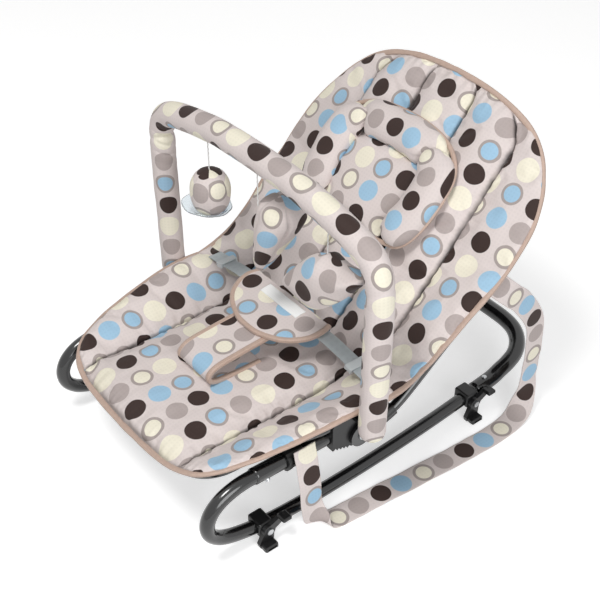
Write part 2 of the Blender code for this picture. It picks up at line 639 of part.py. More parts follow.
def build_pillow():
    """Head hugger: a flattened padded roll bent over the head, and a flat pad between its legs."""
    legs = ((0.076, 0.096), (0.093, 0.116), (0.102, 0.148), (0.102, 0.186), (0.090, 0.219), (0.060, 0.238),
            (0, 0.243))
    flat = PILLOW_HALF[0] / PILLOW_HALF[1]
    rise = 0.004 / 0.15
    half = [(x, up, (PILLOW_LIFT + rise * (up - 0.1)) * flat) for x, up in legs]
    path = smooth_path(mirrored(half[::-1]), 2)
    n = len(path)
    swell = [0.50 + 0.50 * math.sin(math.pi * min(1, (min(i, n - 1 - i) + 0.6) / 5) / 2) for i in range(n)]
    roll = tube(path, PILLOW_HALF[0], 12, swell)
    place = Matrix(((1, 0, 0, PILLOW_X), (0, BACK_W[1], BACK_N[1] / flat, BACK_FOOT[0]),
                    (0, BACK_W[2], BACK_N[2] / flat, BACK_FOOT[1]), (0, 0, 0, 1)))
    roll.data.transform(place)
    tidy(roll.data)
    finish(roll, "pillow_roll", "fabric")
    rows = ((0.109, 0.056), (0.121, 0.068), (0.150, 0.0771), (0.180, 0.0771), (0.197, 0.070), (0.2115, 0.054))
    top, bottom = [], []
    for i, (up, reach) in enumerate(rows):
        edge_row = i in (0, len(rows) - 1)
        line_t, line_b = [], []
        for j, share in enumerate((-1, -0.82, -0.3, 0.3, 0.82, 1)):
            edge = edge_row or j in (0, 5)
            x = share * reach + PILLOW_X
            line_t.append(back_point(x, up, PILLOW_LIFT - (0.0018 if edge else -0.0062)))
            line_b.append(back_point(x, up, PILLOW_LIFT - (0.0078 if edge else 0.0150)))
        top.append(line_t)
        bottom.append(line_b)
    finish(slab(np.array(top), np.array(bottom)), "pillow_pad", "fabric")


BELT = ((0.200, -0.020, 0.1790), (0.170, -0.0215, 0.1850), (0.118, -0.0240, 0.1954), (0.095, -0.0255, 0.1985),
        (0.050, -0.0265, 0.2005), (0, -0.0270, 0.2010))


def build_harness():
    half = np.array(BELT)[::-1]
    path = mirrored(half)
    finish(ribbon(path, [(0, BELT_W, 0)] * len(path), BELT_T), "lap_belt", "webbing")
    a, b = np.array(BELT[1]), np.array(BELT[2])
    way = (b - a) / np.linalg.norm(b - a)
    up = np.array((-way[2], 0, way[0]))
    up = up if up[2] > 0 else -up
    for label, side in SIDES:
        flip = np.array((side, 1, 1))
        mid = a + way * 0.008
        outer = ribbon([(mid - way * 0.007) * flip, (mid + way * 0.007) * flip],
                       [(0, BELT_W + 0.008, 0)] * 2, 0.0070)
        inner = ribbon([(mid - way * 0.03) * flip, (mid + way * 0.03) * flip],
                       [(0, BELT_W + 0.0012, 0)] * 2, 0.0030)
        finish(cut(outer, [inner]), f"belt_slider_{label}", "clear", smooth=False)

    strip = ((-0.105, 0.1524), (-0.150, 0.1540), (-0.185, 0.1580), (-0.1975, 0.1660), (-0.196, 0.1760),
             (-0.180, 0.1840), (-0.140, 0.1880), (-0.090, 0.1910), (-0.045, 0.1935), (-0.014, 0.1950))
    path = smooth_path([(0, y, z) for y, z in strip], 2)
    widths = [(0.076, 0, 0)] * len(path)
    finish(ribbon(path, widths, 0.0070), "crotch_strap", "fabric")

    rows = ((0.088, -0.012, 0.2090), (0.0915, -0.030, 0.2085), (0.088, -0.050, 0.2055),
            (0.076, -0.070, 0.2035), (0.058, -0.085, 0.2015), (0.036, -0.0945, 0.2000))
    shares = (-1, -0.6, -0.2, 0.2, 0.6, 1)
    top = np.array([[(w * s, y, z + 0.002 * (1 - s * s)) for s in shares] for w, y, z in rows])
    finish(slab(top, top - (0, 0, 0.0062)), "crotch_flap", "fabric")
    patch = box((-0.044, -0.042, 0.2107), (0.044, -0.022, 0.2113))
    finish(patch, "label_patch", "label", smooth=False)


def build_straps():
    """Flat strap with its width along Y where it hangs, along X on the floor, and turned between the two."""
    route = [(0.2165, -0.162, 0.1480), (0.2235, -0.162, 0.1200), (0.2300, -0.162, 0.0800),
             (0.2360, -0.162, 0.0400), (0.2400, -0.157, 0.0180), (0.2430, -0.146, 0.0060),
             (0.2460, -0.125, 0.0022), (0.2500, -0.080, 0.0018), (0.2570, -0.005, 0.0018),
             (0.2640, 0.070, 0.0018), (0.2700, 0.150, 0.0018), (0.2700, 0.205, 0.0022),
             (0.2660, 0.238, 0.0080), (0.2600, 0.258, 0.0300), (STRAP_X, 0.264, 0.0650),
             (STRAP_X, 0.264, 0.1300), (STRAP_X, 0.258, 0.1850), tuple(back_point(STRAP_X, STRAP_UP, -0.085)),
             tuple(back_point(STRAP_X, STRAP_UP, -0.050))]
    turn = (0, 0, 0, 0, 25, 60, 90, 90, 90, 90, 90, 90, 60, 25, 0, 0, 0, 0, 0)
    tilt = (0, 0, 0, 0, 0, 0, 0, 0, 0, 0, 0, 0, 0, 0, 0, 0, 0.18, 1, 1)
    line, span = smooth_path(route, 3), np.arange(len(route))
    along = np.linspace(0, len(route) - 1, len(line))
    line[along >= 14, 0] = STRAP_X
    turns, leans = np.radians(np.interp(along, span, turn)), np.interp(along, span, tilt)
    for label, side in SIDES:
        flip = np.array((side, 1, 1))
        widths = []
        for t, lean in zip(turns, leans):
            upright = np.array((0, 1, 0)) * (1 - lean) + BACK_W * lean
            width = upright * math.cos(t) + np.array((1, 0, 0)) * math.sin(t)
            widths.append(width / np.linalg.norm(width) * STRAP_W * flip)
        body = ribbon(line * flip, widths, STRAP_T)
        finish(body, f"carry_strap_{label}", "fabric", smooth=False)
        tab = [back_point(x, STRAP_UP, out)
               for x, out in ((0.2468, -0.0109), (0.2500, -0.024), (TAB_X, -0.038), (TAB_X, -0.070))]
        tab = ribbon(np.array(tab) * flip, [BACK_W * STRAP_W] * 4, STRAP_T)
        finish(tab, f"strap_tab_{label}", "fabric", smooth=False)


def bar_path():
    """Half of the toy bar from the cap up the leg, round the corner and along the arch to the middle."""
    legs = [(BAR_X, BAR_CAP_Z), (BAR_X + 0.001, 0.250), (BAR_X + 0.002, 0.340)]
    arch = [(BAR_X + 0.001, 0.083), (BAR_X - 0.0025, 0.058), (BAR_X - 0.015, 0.038), (BAR_X - 0.038, 0.026),
            (0.180, 0.017), (0.135, 0.0085), (0.080, 0.002), (0, 0)]
    return [(x, BAR_Y, z) for x, z in legs] + [(x, BAR_Y, BAR_TOP - drop) for x, drop in arch]


def toy_top(toy):
    """Where a toy's string starts, just under the sleeve."""
    half = np.array(bar_path())[:2:-1]
    x = abs(TOY_X[toy])
    low, middle, high = np.interp((x - 0.005, x, x + 0.005), half[:, 0], half[:, 2])
    return float(middle) - BAR_R * math.hypot(1, (high - low) / 0.01) - GAP


def toy_middle(toy):
    return toy_top(toy) - TOY_FALL[toy]


def build_toy_bar():
    path = mirrored(np.array(bar_path())[::-1])
    sleeve = tube(path, BAR_R, 14)
    reach = np.vstack([path[0] - (0, 0, 0.01), path, path[-1] - (0, 0, 0.01)])
    bore = tube(reach, CORE_R + GAP, 8)
    finish(cut(sleeve, [bore]), "toy_bar_sleeve", "fabric")
    finish(tube(path, CORE_R, 8), "toy_bar_core", "black_steel")
    for label, side in SIDES:
        x = side * BAR_X
        dome = [(0.0, 0.1370), (0.008, 0.1380), (0.0145, 0.1415), (0.0185, 0.1470), (BAR_R, 0.1520),
                (BAR_R, BAR_CAP_Z - GAP), (0.0, BAR_CAP_Z - GAP)]
        cap = turned(dome, 20, x)
        pin = bar((side * 0.2040, BAR_Y, BAR_PIVOT_Z), (side * 0.246, BAR_Y, BAR_PIVOT_Z), PIN_R, 20)
        finish(join(cap, [pin]), f"toy_bar_end_{label}", "black_plastic")


def turned(profile, sides, x):
    """A profile of (radius, z) points screwed round the upright line at x in the toy bar's plane."""
    mesh = bpy.data.meshes.new("profile")
    mesh.from_pydata([(r, 0, z) for r, z in profile[::-1]], [(i, i + 1) for i in range(len(profile) - 1)], [])
    obj = bpy.data.objects.new("turned", mesh)
    obj.location = (x, BAR_Y, 0)
    scene.collection.objects.link(obj)
    screw = obj.modifiers.new("screw", "SCREW")
    screw.steps = screw.render_steps = sides
    screw.use_merge_vertices = True
    screw.merge_threshold = 0.0001
    return applied(evaluated(obj))


def string_piece(toy, end, radius=0.0009):
    """The string of a toy, from the sleeve down to its end."""
    x = TOY_X[toy]
    finish(bar((x, BAR_Y, end), (x, BAR_Y, toy_top(toy)), radius, 8), f"toy_{toy}_string", "label")


def hung(toy, profile, sides, name, look):
    """A turned piece whose profile gives radius and height over the toy's middle."""
    middle = toy_middle(toy)
    finish(turned([(r, middle + z) for r, z in profile], sides, TOY_X[toy]), name, look)


def build_toys():
    """A plush ball in a clear dish, a leaning plush fig and a four-pointed plush kite, each on its string."""
    ball = [(0, -0.0375), (0.0155, -0.0335), (0.0262, -0.0220), (0.0310, -0.0020), (0.0293, 0.0170),
            (0.0215, 0.0305), (0.0115, 0.0368), (0, 0.0385)]
    hung("ball", ball, 18, "toy_ball", "fabric")
    dish = [(0, -0.0398), (0.0165, -0.0355), (0.0285, -0.0235), (0.0350, -0.0200), (0.0350, -0.0188),
            (0.0278, -0.0223), (0.0161, -0.0339), (0, -0.0382)]
    hung("ball", dish, 18, "toy_ball_dish", "clear")
    fig = [(0, -0.1130), (0.0070, -0.1095), (0.0135, -0.0990), (0.0192, -0.0850), (0.0252, -0.0660),
           (0.0310, -0.0470), (0.0352, -0.0300), (0.0366, -0.0160), (0.0340, -0.0030), (0.0255, 0.0070),
           (0.0130, 0.0125), (0, 0.0140)]
    hung("fig", fig, 16, "toy_fig", "fabric")
    body = PARTS.objects["toy_fig"].data
    bottom, shoulder = toy_middle("fig") + fig[0][1], toy_middle("fig") + fig[7][1]
    for vertex in body.vertices:
        share = min(1, (vertex.co.z - bottom) / (shoulder - bottom))
        vertex.co.x += FIG_LEAN[0] * share
        vertex.co.y += FIG_LEAN[1] * share
    outline = ((0, 0.048), (0.036, 0.044), (0.074, 0.046), (0.055, 0.016), (0.025, -0.020), (-0.012, -0.052),
               (-0.050, -0.054), (-0.088, -0.044), (-0.064, -0.008), (-0.034, 0.026))
    kite_x, kite_z = TOY_X["kite"], toy_middle("kite")
    flat = [(kite_x + x, kite_z + z) for x, z in outline]
    points = [(x, BAR_Y - 0.008, z) for x, z in flat] + [(x, BAR_Y + 0.008, z) for x, z in flat]
    points += [(kite_x - 0.004, BAR_Y - 0.030, kite_z), (kite_x - 0.004, BAR_Y + 0.030, kite_z)]
    faces = []
    for i in range(10):
        j = (i + 1) % 10
        faces += [(i, j, 20), (10 + i, 10 + j, 21), (i, j, 10 + j, 10 + i)]
    kite = subdivided(from_cage(points, faces), 1)
    finish(kite, "toy_kite", "fabric")
    string_piece("ball", toy_middle("ball") + ball[-1][1] + GAP)
    string_piece("fig", toy_middle("fig") - 0.0016)
    near = [v.co.z for v in kite.data.vertices if abs(v.co.x - kite_x) < 0.006]
    string_piece("kite", max(near) + GAP)


build_rails()
build_rear_tube()
build_arms()
build_seat_tube()
build_blocks()
build_stoppers()
build_buttons()
build_seat_pad()
build_back_pad()
build_bindings()
build_back_frame()
build_pillow()
build_harness()
build_straps()
build_toy_bar()
build_toys()

for toy, x in TOY_X.items():
    for piece in (f"toy_{toy}", f"toy_{toy}_string"):
        pivot(piece, (x, BAR_Y, toy_top(toy)))
pivot("toy_ball_dish", (TOY_X["ball"], BAR_Y, toy_top("ball")))
for piece in ("toy_bar_sleeve", "toy_bar_core", "toy_bar_end_left", "toy_bar_end_right"):
    pivot(piece, (0, BAR_Y, BAR_PIVOT_Z))
for piece in ("back_pad", "back_binding", "back_frame_tube", "recline_ear_left", "recline_ear_right",
              "pillow_roll", "pillow_pad", "strap_tab_left", "strap_tab_right"):
    pivot(piece, (0, HINGE_Y, HINGE_Z))
for place, (y, z) in STOPPER_YZ.items():
    for label, side in SIDES:
        pivot(f"stopper_lever_{place}_{label}", (side * LEVER_X[0], y, z))
for kind in ("rear", "front"):
    for label, side in SIDES:
        pivot(f"snap_button_{kind}_{label}", tuple(snap_place(kind, side)[0]))

# The origin lies under the middle of the whole.
CENTRE_Y = (REAR_Y + REAR_R + SEAT_EDGE[0][1] - BIND_R) / 2
for obj in PARTS.objects:
    obj.location.y -= CENTRE_Y
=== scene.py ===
"""Looks of the baby rocker: quilted polka-dot cover, piping, head pillow, harness, padded toy bar with three
plush toys, carry straps, painted tubes and moulded plastic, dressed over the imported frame."""
import json
import math

import bmesh
import bpy
import numpy as np
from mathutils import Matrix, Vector


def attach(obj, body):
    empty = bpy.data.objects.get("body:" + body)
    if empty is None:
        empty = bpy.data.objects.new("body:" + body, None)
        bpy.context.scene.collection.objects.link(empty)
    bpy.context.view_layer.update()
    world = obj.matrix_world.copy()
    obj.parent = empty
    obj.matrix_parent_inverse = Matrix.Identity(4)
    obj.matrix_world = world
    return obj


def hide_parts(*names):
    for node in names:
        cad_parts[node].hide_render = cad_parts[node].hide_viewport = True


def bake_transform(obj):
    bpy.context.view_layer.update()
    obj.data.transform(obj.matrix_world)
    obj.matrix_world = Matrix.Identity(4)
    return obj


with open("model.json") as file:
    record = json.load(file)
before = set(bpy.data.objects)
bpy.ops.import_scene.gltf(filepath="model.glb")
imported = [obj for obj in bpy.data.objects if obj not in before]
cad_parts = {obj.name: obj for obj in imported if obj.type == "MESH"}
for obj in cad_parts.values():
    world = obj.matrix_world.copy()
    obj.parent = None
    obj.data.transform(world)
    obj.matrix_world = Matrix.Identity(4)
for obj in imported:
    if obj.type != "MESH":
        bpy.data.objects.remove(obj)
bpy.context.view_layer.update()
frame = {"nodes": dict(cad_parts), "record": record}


def metres(*points):
    """Points typed in millimetres, in metres."""
    return np.array(points) / 1000


TURN = 2 * math.pi
ACROSS, ALONG, UPWARD = np.eye(3)

# Sizes of the part, in metres, as its source gives them before it is centred on Y.
CENTRE_Y = 0.0101
BACK_ANGLE = math.radians(45.4)
BACK_FOOT = (0.074, 0.211)
BACK_W = np.array((0, math.cos(BACK_ANGLE), math.sin(BACK_ANGLE)))
BACK_N = np.array((0, -math.sin(BACK_ANGLE), math.cos(BACK_ANGLE)))
SEAT_EDGE = metres((0, -328, 128), (60, -327, 130), (115, -323, 134), (155, -309, 141), (180, -283, 149),
                   (197, -243, 156), (210, -195, 162), (220, -140, 168), (226, -95, 172), (229, -60, 171),
                   (230, -36, 169))
BACK_EDGE = metres((231, -27, 168), (234, 10, 176), (235, 45, 193), (238, 80, 219), (244, 125, 260),
                   (248, 170, 298), (248, 205, 334), (242, 238, 368), (226, 266, 399), (202, 288, 430),
                   (170, 303, 455), (125, 309, 474), (70, 311, 486), (0, 311, 491))
SEAT_SEAM = 0.13
BACK_SEAMS = (0.05, 0.15)
CORNER_X = 0.15            # where the cover's side edge is taken to turn into its end edge
BAR_Y, BAR_R = -0.069, 0.0195
BAR_HALF = metres((253, -69, 157), (254, -69, 250), (255, -69, 340), (254, -69, 395), (250.5, -69, 420),
                  (238, -69, 440), (215, -69, 452), (180, -69, 461), (135, -69, 469.5), (80, -69, 476),
                  (0, -69, 478))
# Each toy: its string's place across, the string's top and the toy's own middle.
TOYS = {"ball": (-0.127, 0.4505, 0.36), "fig": (-0.006, 0.458, 0.398), "kite": (0.149, 0.4467, 0.354)}
FIG_LEAN = (0.021, 0.026)
PILLOW_X, PILLOW_LIFT = -0.0175, 0.036
STRAP_X, STRAP_W, STRAP_UP = 0.2575, 0.038, 0.125
BELT_W = 0.025
BELT = metres((200, -20, 179), (170, -21.5, 185), (118, -24, 195.4), (95, -25.5, 198.5),
              (50, -26.5, 200.5), (0, -27, 201))
RAIL_X, RAIL_R, REAR_R, ARM_R = 0.2, 0.011, 0.0135, 0.0125
HAIRPIN = metres((-268, 125.5), (-293, 117.5), (-311, 103), (-319.5, 83.5), (-317, 63.5), (-305, 47.5),
                 (-287, 36.5), (-262, 28), (-233, 21.7), (-200, 17.5), (-165, 14.9), (-130, 14))
SIDES = (("left", -1), ("right", 1))

# Print of the cloth: a lattice of spots, four columns by four rows before it repeats.
PITCH_U, PITCH_V = 0.045, 0.0405
SPOT_U, SPOT_V = 0.094, -0.223
SPOT_STRAY = 0.08           # how far a spot may stray, as a share of the pitch
SOFT_EDGE = 0.0005
RAMP_SCALE = 40.0           # brings a radius in metres near 1, which is what a colour ramp holds
# Painted shade: the cloth is painted darker in the bottom of each seam and along the seat's front hem.
SEAM_SHADE = 0.78           # how much darker the cloth looks in the bottom of a seam


def linked(name, data):
    """A new object of the scene with this data."""
    obj = bpy.data.objects.new(name, data)
    bpy.context.scene.collection.objects.link(obj)
    return obj


# Finishes

def srgb(red, green, blue):
    """A colour as it looks on a screen, 0 to 255, turned into the linear values that a shader takes."""
    c = np.array((red, green, blue)) / 255
    return (*np.where(c <= 0.04045, c / 12.92, ((c + 0.055) / 1.055) ** 2.4), 1.0)


GROUND, BROWN, SKY = srgb(220, 209, 206), srgb(52, 37, 33), srgb(160, 196, 221)
CREAM, TAUPE, RING = srgb(240, 234, 215), srgb(178, 166, 163), srgb(168, 157, 153)
TAPE = srgb(192, 166, 151)
# Each kind of spot: colour of its rim, colour of its middle, rim radius and middle radius.
SPOTS = {"brown": (BROWN, BROWN, 0.0158, 0), "taupe": (TAUPE, TAUPE, 0.016, 0),
         "cream": (CREAM, CREAM, 0.018, 0), "sky": (SKY, SKY, 0.0166, 0),
         "ringed sky": (RING, SKY, 0.017, 0.0128),
         "ringed cream": (RING, CREAM, 0.017, 0.0124)}
LATTICE = ("ringed sky", "brown", "ringed sky", "cream", "brown", "taupe", "sky", "ringed cream",
           "cream", "ringed cream", "brown", "taupe", "taupe", "sky", "cream", "brown")


def new_finish(name):
    """An empty material with its shader, as (material, tree, shader)."""
    material = bpy.data.materials.new(name)
    material.use_nodes = True
    tree = material.node_tree
    return material, tree, tree.nodes["Principled BSDF"]


def feed(tree, node, inputs):
    """Gives each of these input sockets its value, or links it to the output that it takes."""
    for socket, value in dict(inputs).items():
        if isinstance(value, bpy.types.NodeSocket):
            tree.links.new(value, node.inputs[socket])
        else:
            node.inputs[socket].default_value = value


def add(tree, kind, inputs=(), **settings):
    """A new node with these settings and inputs."""
    made = tree.nodes.new(kind)
    for key, value in settings.items():
        setattr(made, key, value)
    feed(tree, made, inputs)
    return made


def calc(tree, operation, *values):
    """One Math node on these values."""
    return add(tree, "ShaderNodeMath", dict(enumerate(values)), operation=operation).outputs[0]


def noise(tree, place, scale, detail):
    """Noise from 0 to 1 over these coordinates."""
    return add(tree, "ShaderNodeTexNoise", {"Vector": place, "Scale": scale, "Detail": detail}).outputs["Fac"]


def steps_ramp(tree, factor, colours):
    """A ramp of equal steps, one for each colour."""
    made = add(tree, "ShaderNodeValToRGB", {"Fac": factor})
    ramp = made.color_ramp
    ramp.interpolation = "CONSTANT"
    ramp.elements[0].color = colours[0]
    ramp.elements[1].position = 1 / len(colours)
    ramp.elements[1].color = colours[1]
    for k, colour in enumerate(colours[2:], 2):
        ramp.elements.new(k / len(colours)).color = colour
    return made.outputs["Color"]


def mixed(tree, share, first, second, kind="MIX"):
    """Two colours mixed by a share, by socket number, because a Mix node has several sockets of one name."""
    inputs = {0: share, 6: first, 7: second}
    return add(tree, "ShaderNodeMix", inputs, data_type="RGBA", blend_type=kind).outputs[2]


def toned(tree, shader, colour, tone):
    """Makes the shader's colour this one, darkened by a tone."""
    grey = add(tree, "ShaderNodeCombineColor", {"Red": tone, "Green": tone, "Blue": tone}).outputs["Color"]
    feed(tree, shader, {"Base Color": mixed(tree, 1.0, colour, grey, "MULTIPLY")})


def weave(tree, uv, thread=0.0009):
    """Height of a plain weave: two sets of thread waves at right angles, the thread spacing apart."""
    waves = {"Vector": uv, "Scale": 0.05 / thread, "Distortion": 0.4, "Detail": 1.0}
    sets = [add(tree, "ShaderNodeTexWave", waves, bands_direction=way).outputs["Fac"] for way in "XY"]
    return calc(tree, "MAXIMUM", *sets)


def bumps(tree, shader, height, strength, distance):
    """Fine relief of a surface."""
    made = add(tree, "ShaderNodeBump", {"Height": height, "Strength": strength, "Distance": distance})
    feed(tree, shader, {"Normal": made.outputs["Normal"]})


def polka_cloth():
    """Printed cotton: spots on a lattice read from the piece's own map, in metres, over a plain weave. Each
    spot strays a little from the middle of its cell, and the cell's place in the repeat gives its kind."""
    material, tree, shader = new_finish("polka_cloth")
    uv = add(tree, "ShaderNodeUVMap", uv_map="cloth").outputs["UV"]
    apart = add(tree, "ShaderNodeSeparateXYZ", {"Vector": uv})
    u = calc(tree, "MULTIPLY_ADD", apart.outputs["X"], -1 / PITCH_U, SPOT_U / PITCH_U + 0.5)
    v = calc(tree, "MULTIPLY_ADD", apart.outputs["Y"], -1 / PITCH_V, SPOT_V / PITCH_V + 0.5)
    column, row = calc(tree, "FLOOR", u), calc(tree, "FLOOR", v)
    cell = add(tree, "ShaderNodeCombineXYZ", {"X": column, "Y": row}).outputs["Vector"]
    chance = add(tree, "ShaderNodeTexWhiteNoise", {"Vector": cell}, noise_dimensions="2D").outputs["Color"]
    chance = add(tree, "ShaderNodeSeparateColor", {"Color": chance})
    squares = []
    for place, number, pitch, channel in ((u, column, PITCH_U, "Red"), (v, row, PITCH_V, "Green")):
        inside = calc(tree, "SUBTRACT", calc(tree, "SUBTRACT", place, number), 0.5)
        stray = calc(tree, "MULTIPLY", calc(tree, "SUBTRACT", chance.outputs[channel], 0.5), SPOT_STRAY)
        away = calc(tree, "MULTIPLY", calc(tree, "SUBTRACT", inside, stray), pitch)
        squares.append(calc(tree, "MULTIPLY", away, away))
    distance = calc(tree, "SQRT", calc(tree, "ADD", *squares))
    kind = calc(tree, "MULTIPLY_ADD", calc(tree, "FLOORED_MODULO", row, 4.0), 4.0,
                calc(tree, "FLOORED_MODULO", column, 4.0))
    kind = calc(tree, "DIVIDE", calc(tree, "ADD", kind, 0.5), 16.0)
    spots = [SPOTS[name] for name in LATTICE]
    rims = steps_ramp(tree, kind, [spot[0] for spot in spots])
    middles = steps_ramp(tree, kind, [spot[1] for spot in spots])
    radii = steps_ramp(tree, kind, [(spot[2] * RAMP_SCALE, spot[3] * RAMP_SCALE, 0, 1) for spot in spots])
    radii = add(tree, "ShaderNodeSeparateColor", {"Color": radii})
    shares = []
    for channel in ("Red", "Green"):
        radius = calc(tree, "DIVIDE", radii.outputs[channel], RAMP_SCALE)
        inside = calc(tree, "DIVIDE", calc(tree, "SUBTRACT", radius, distance), SOFT_EDGE)
        inside = calc(tree, "MAXIMUM", calc(tree, "ADD", inside, 0.5), 0.0)
        shares.append(calc(tree, "MINIMUM", inside, 1.0))
    colour = mixed(tree, shares[0], GROUND, rims)
    colour = mixed(tree, shares[1], colour, middles)
    # Thread colour varies a little, the print is worn a touch on raised threads; seams get painted shade.
    threads, grain, blot = weave(tree, uv), noise(tree, uv, 900.0, 2.0), noise(tree, uv, 14.0, 3.0)
    # Painted shade, read from the mesh: darker in the bottom of seams and along the seat's front hem.
    sunk = add(tree, "ShaderNodeAttribute", attribute_name="sunk").outputs["Fac"]
    tone = calc(tree, "MULTIPLY_ADD", threads, 0.05, calc(tree, "MULTIPLY_ADD", grain, 0.08, 0.92))
    tone = calc(tree, "MULTIPLY", tone, calc(tree, "MULTIPLY_ADD", blot, 0.08, 0.96))
    tone = calc(tree, "MULTIPLY", tone, calc(tree, "MULTIPLY_ADD", sunk, -SEAM_SHADE, 1.0))
    toned(tree, shader, colour, tone)
    feed(tree, shader, {"Roughness": 0.72, "Specular IOR Level": 0.3, "Sheen Weight": 0.12,
                        "Sheen Roughness": 0.4})
    bumps(tree, shader, calc(tree, "MULTIPLY_ADD", blot, 0.5, threads), 0.25, 0.0002)
    return material


def plain_cloth(name, colour, rib=0.0011, roughness=0.75, uneven=0.1, relief=0.0002):
    """Woven tape or lining in one colour: ribs across the piece's map and a small change of tone."""
    material, tree, shader = new_finish(name)
    uv = add(tree, "ShaderNodeUVMap", uv_map="cloth").outputs["UV"]
    threads = weave(tree, uv, rib)
    tone = calc(tree, "MULTIPLY_ADD", noise(tree, uv, 60.0, 4.0), uneven, 1 - uneven)
    tone = calc(tree, "MULTIPLY", tone, calc(tree, "MULTIPLY_ADD", threads, 0.08, 0.94))
    toned(tree, shader, colour, tone)
    feed(tree, shader, {"Roughness": roughness, "Sheen Weight": 0.1})
    bumps(tree, shader, threads, 0.4, relief)
    return material


def binding_cloth():
    """Satin bias tape: slanting folds across the tape, painted lighter on their crests and darker in their
    hollows as painted light and shade, and a line of stitches along each of its edges.
    """
    material, tree, shader = new_finish("binding_cloth")
    uv = add(tree, "ShaderNodeUVMap", uv_map="cloth").outputs["UV"]
    slant = add(tree, "ShaderNodeMapping", {"Vector": uv, "Rotation": (0, 0, 0.8)}).outputs["Vector"]
    folds, threads = noise(tree, slant, 160.0, 2.0), weave(tree, slant, 0.0007)
    apart = add(tree, "ShaderNodeSeparateXYZ", {"Vector": uv})
    in_row = calc(tree, "LESS_THAN", calc(tree, "PINGPONG", apart.outputs["X"], 0.0062), 0.0007)
    stitch = calc(tree, "LESS_THAN", calc(tree, "PINGPONG", apart.outputs["Y"], 0.0016), 0.0011)
    stitch = calc(tree, "MULTIPLY", in_row, stitch)
    # Painted light and shade: the tape's colour follows the fold relief, lighter on crests, darker in
    # hollows.
    tone = calc(tree, "MULTIPLY_ADD", folds, 0.26, 0.82)
    toned(tree, shader, TAPE, calc(tree, "MULTIPLY", tone, calc(tree, "MULTIPLY_ADD", stitch, -0.16, 1.0)))
    feed(tree, shader, {"Roughness": 0.5, "Sheen Weight": 0.2})
    height = calc(tree, "MULTIPLY_ADD", folds, 1.5, threads)
    bumps(tree, shader, calc(tree, "MULTIPLY_ADD", stitch, -2.0, height), 0.5, 0.0003)
    return material


def hard_finish(name, colour, roughness, metallic=0.0, coat=0.0, grain=900.0, relief=0.00003, wear=0.08):
    """Paint, moulded plastic or plated metal on Object coordinates: fine relief, tone and gloss that vary."""
    material, tree, shader = new_finish(name)
    place = add(tree, "ShaderNodeTexCoord").outputs["Object"]
    broad = noise(tree, place, 35.0, 5.0)
    toned(tree, shader, colour, calc(tree, "MULTIPLY_ADD", broad, wear, 1 - wear / 2))
    gloss = calc(tree, "MULTIPLY_ADD", broad, 0.12, roughness - 0.06)
    feed(tree, shader, {"Roughness": gloss, "Metallic": metallic, "Coat Weight": coat,
                        "Coat Roughness": 0.08})
    bumps(tree, shader, noise(tree, place, grain, 2.0), 0.35, relief)
    return material


def clear_finish():
    """Clear moulded plastic for the dish under the ball."""
    material, tree, shader = new_finish("clear_plastic")
    place = add(tree, "ShaderNodeTexCoord").outputs["Object"]
    gloss = calc(tree, "MULTIPLY_ADD", noise(tree, place, 40.0, 2.0), 0.08, 0.04)
    feed(tree, shader, {"Roughness": gloss, "Base Color": srgb(232, 240, 245), "Transmission Weight": 0.8,
                        "IOR": 1.46})
    return material


FINISH = {
    "polka": polka_cloth(),
    "lining": plain_cloth("underside_cloth", srgb(86, 82, 84), rib=0.0015, uneven=0.16),
    "binding": binding_cloth(),
    "webbing": plain_cloth("belt_webbing", srgb(184, 192, 195), rib=0.0018, roughness=0.55, relief=0.0004),
    "label": plain_cloth("bare_label", srgb(253, 253, 252), rib=0.0005, roughness=0.5, uneven=0.02),
    "string": plain_cloth("toy_string", srgb(232, 232, 230), rib=0.0008, roughness=0.5, uneven=0.05),
    "paint": hard_finish("black_paint", srgb(10, 10, 11), 0.19, coat=0.6, grain=260.0, relief=0.00001),
    "plastic": hard_finish("black_plastic", srgb(17, 17, 18), 0.36, grain=1400.0, relief=0.00006),
    "zinc": hard_finish("zinc_plate", srgb(186, 188, 190), 0.3, metallic=1.0, grain=700.0),
    "buckle": hard_finish("pale_buckle", srgb(206, 212, 214), 0.25, grain=900.0, wear=0.05),
    "clear": clear_finish(),
}


# Meshes

def skin(name, points, uv, finish, wrap=(False, False), caps=False, second=None, second_rows=None, sunk=None):
    """A grid of points (rows, columns) made into quads. wrap joins the last row or column to the first, and
    uv then has one more row or column than points. caps closes both end rows with a fan to their middle.
    The last argument is painted shade: 1 in the bottom of a stitched line, where the cloth is painted darker."""
    rows, cols = points.shape[:2]
    i, j = np.meshgrid(np.arange(rows - 1 + wrap[0]), np.arange(cols - 1 + wrap[1]), indexing="ij")
    i, j = i.ravel(), j.ravel()
    corners = [(i, j), (i, j + 1), (i + 1, j + 1), (i + 1, j)]
    verts = points.reshape(-1, 3) - (0, CENTRE_Y, 0)
    faces = np.stack([(a % rows) * cols + b % cols for a, b in corners], 1).tolist()
    maps = np.stack([uv[a, b] for a, b in corners], 1).reshape(-1, 2)
    if caps:
        k = np.arange(cols)
        for row, step in ((0, -1), (rows - 1, 1)):
            fan = stacked(row * cols + k, row * cols + (k + 1) % cols)[:, ::step]
            faces += stacked(fan[:, 0], fan[:, 1], len(verts)).tolist()
            verts = np.vstack([verts, points[row].mean(0) - (0, CENTRE_Y, 0)])
            maps = np.vstack([maps, np.repeat(uv[row, :cols], 3, axis=0)])
    mesh = bpy.data.meshes.new(name)
    mesh.from_pydata(verts.tolist(), [], faces)
    if second is not None:
        mesh.polygons.foreach_set("material_index", second_rows[i, j].astype(np.int32))
    layer = mesh.uv_layers.new(name="cloth")
    layer.data.foreach_set("uv", maps.astype(np.float32).ravel())
    if sunk is not None:
        depth = mesh.attributes.new("sunk", "FLOAT", "POINT")
        depth.data.foreach_set("value", sunk.astype(np.float32).ravel())
    mesh.validate()
    mesh.shade_smooth()
    mesh.materials.append(FINISH[finish])
    if second is not None:
        mesh.materials.append(FINISH[second])
    return linked(name, mesh)


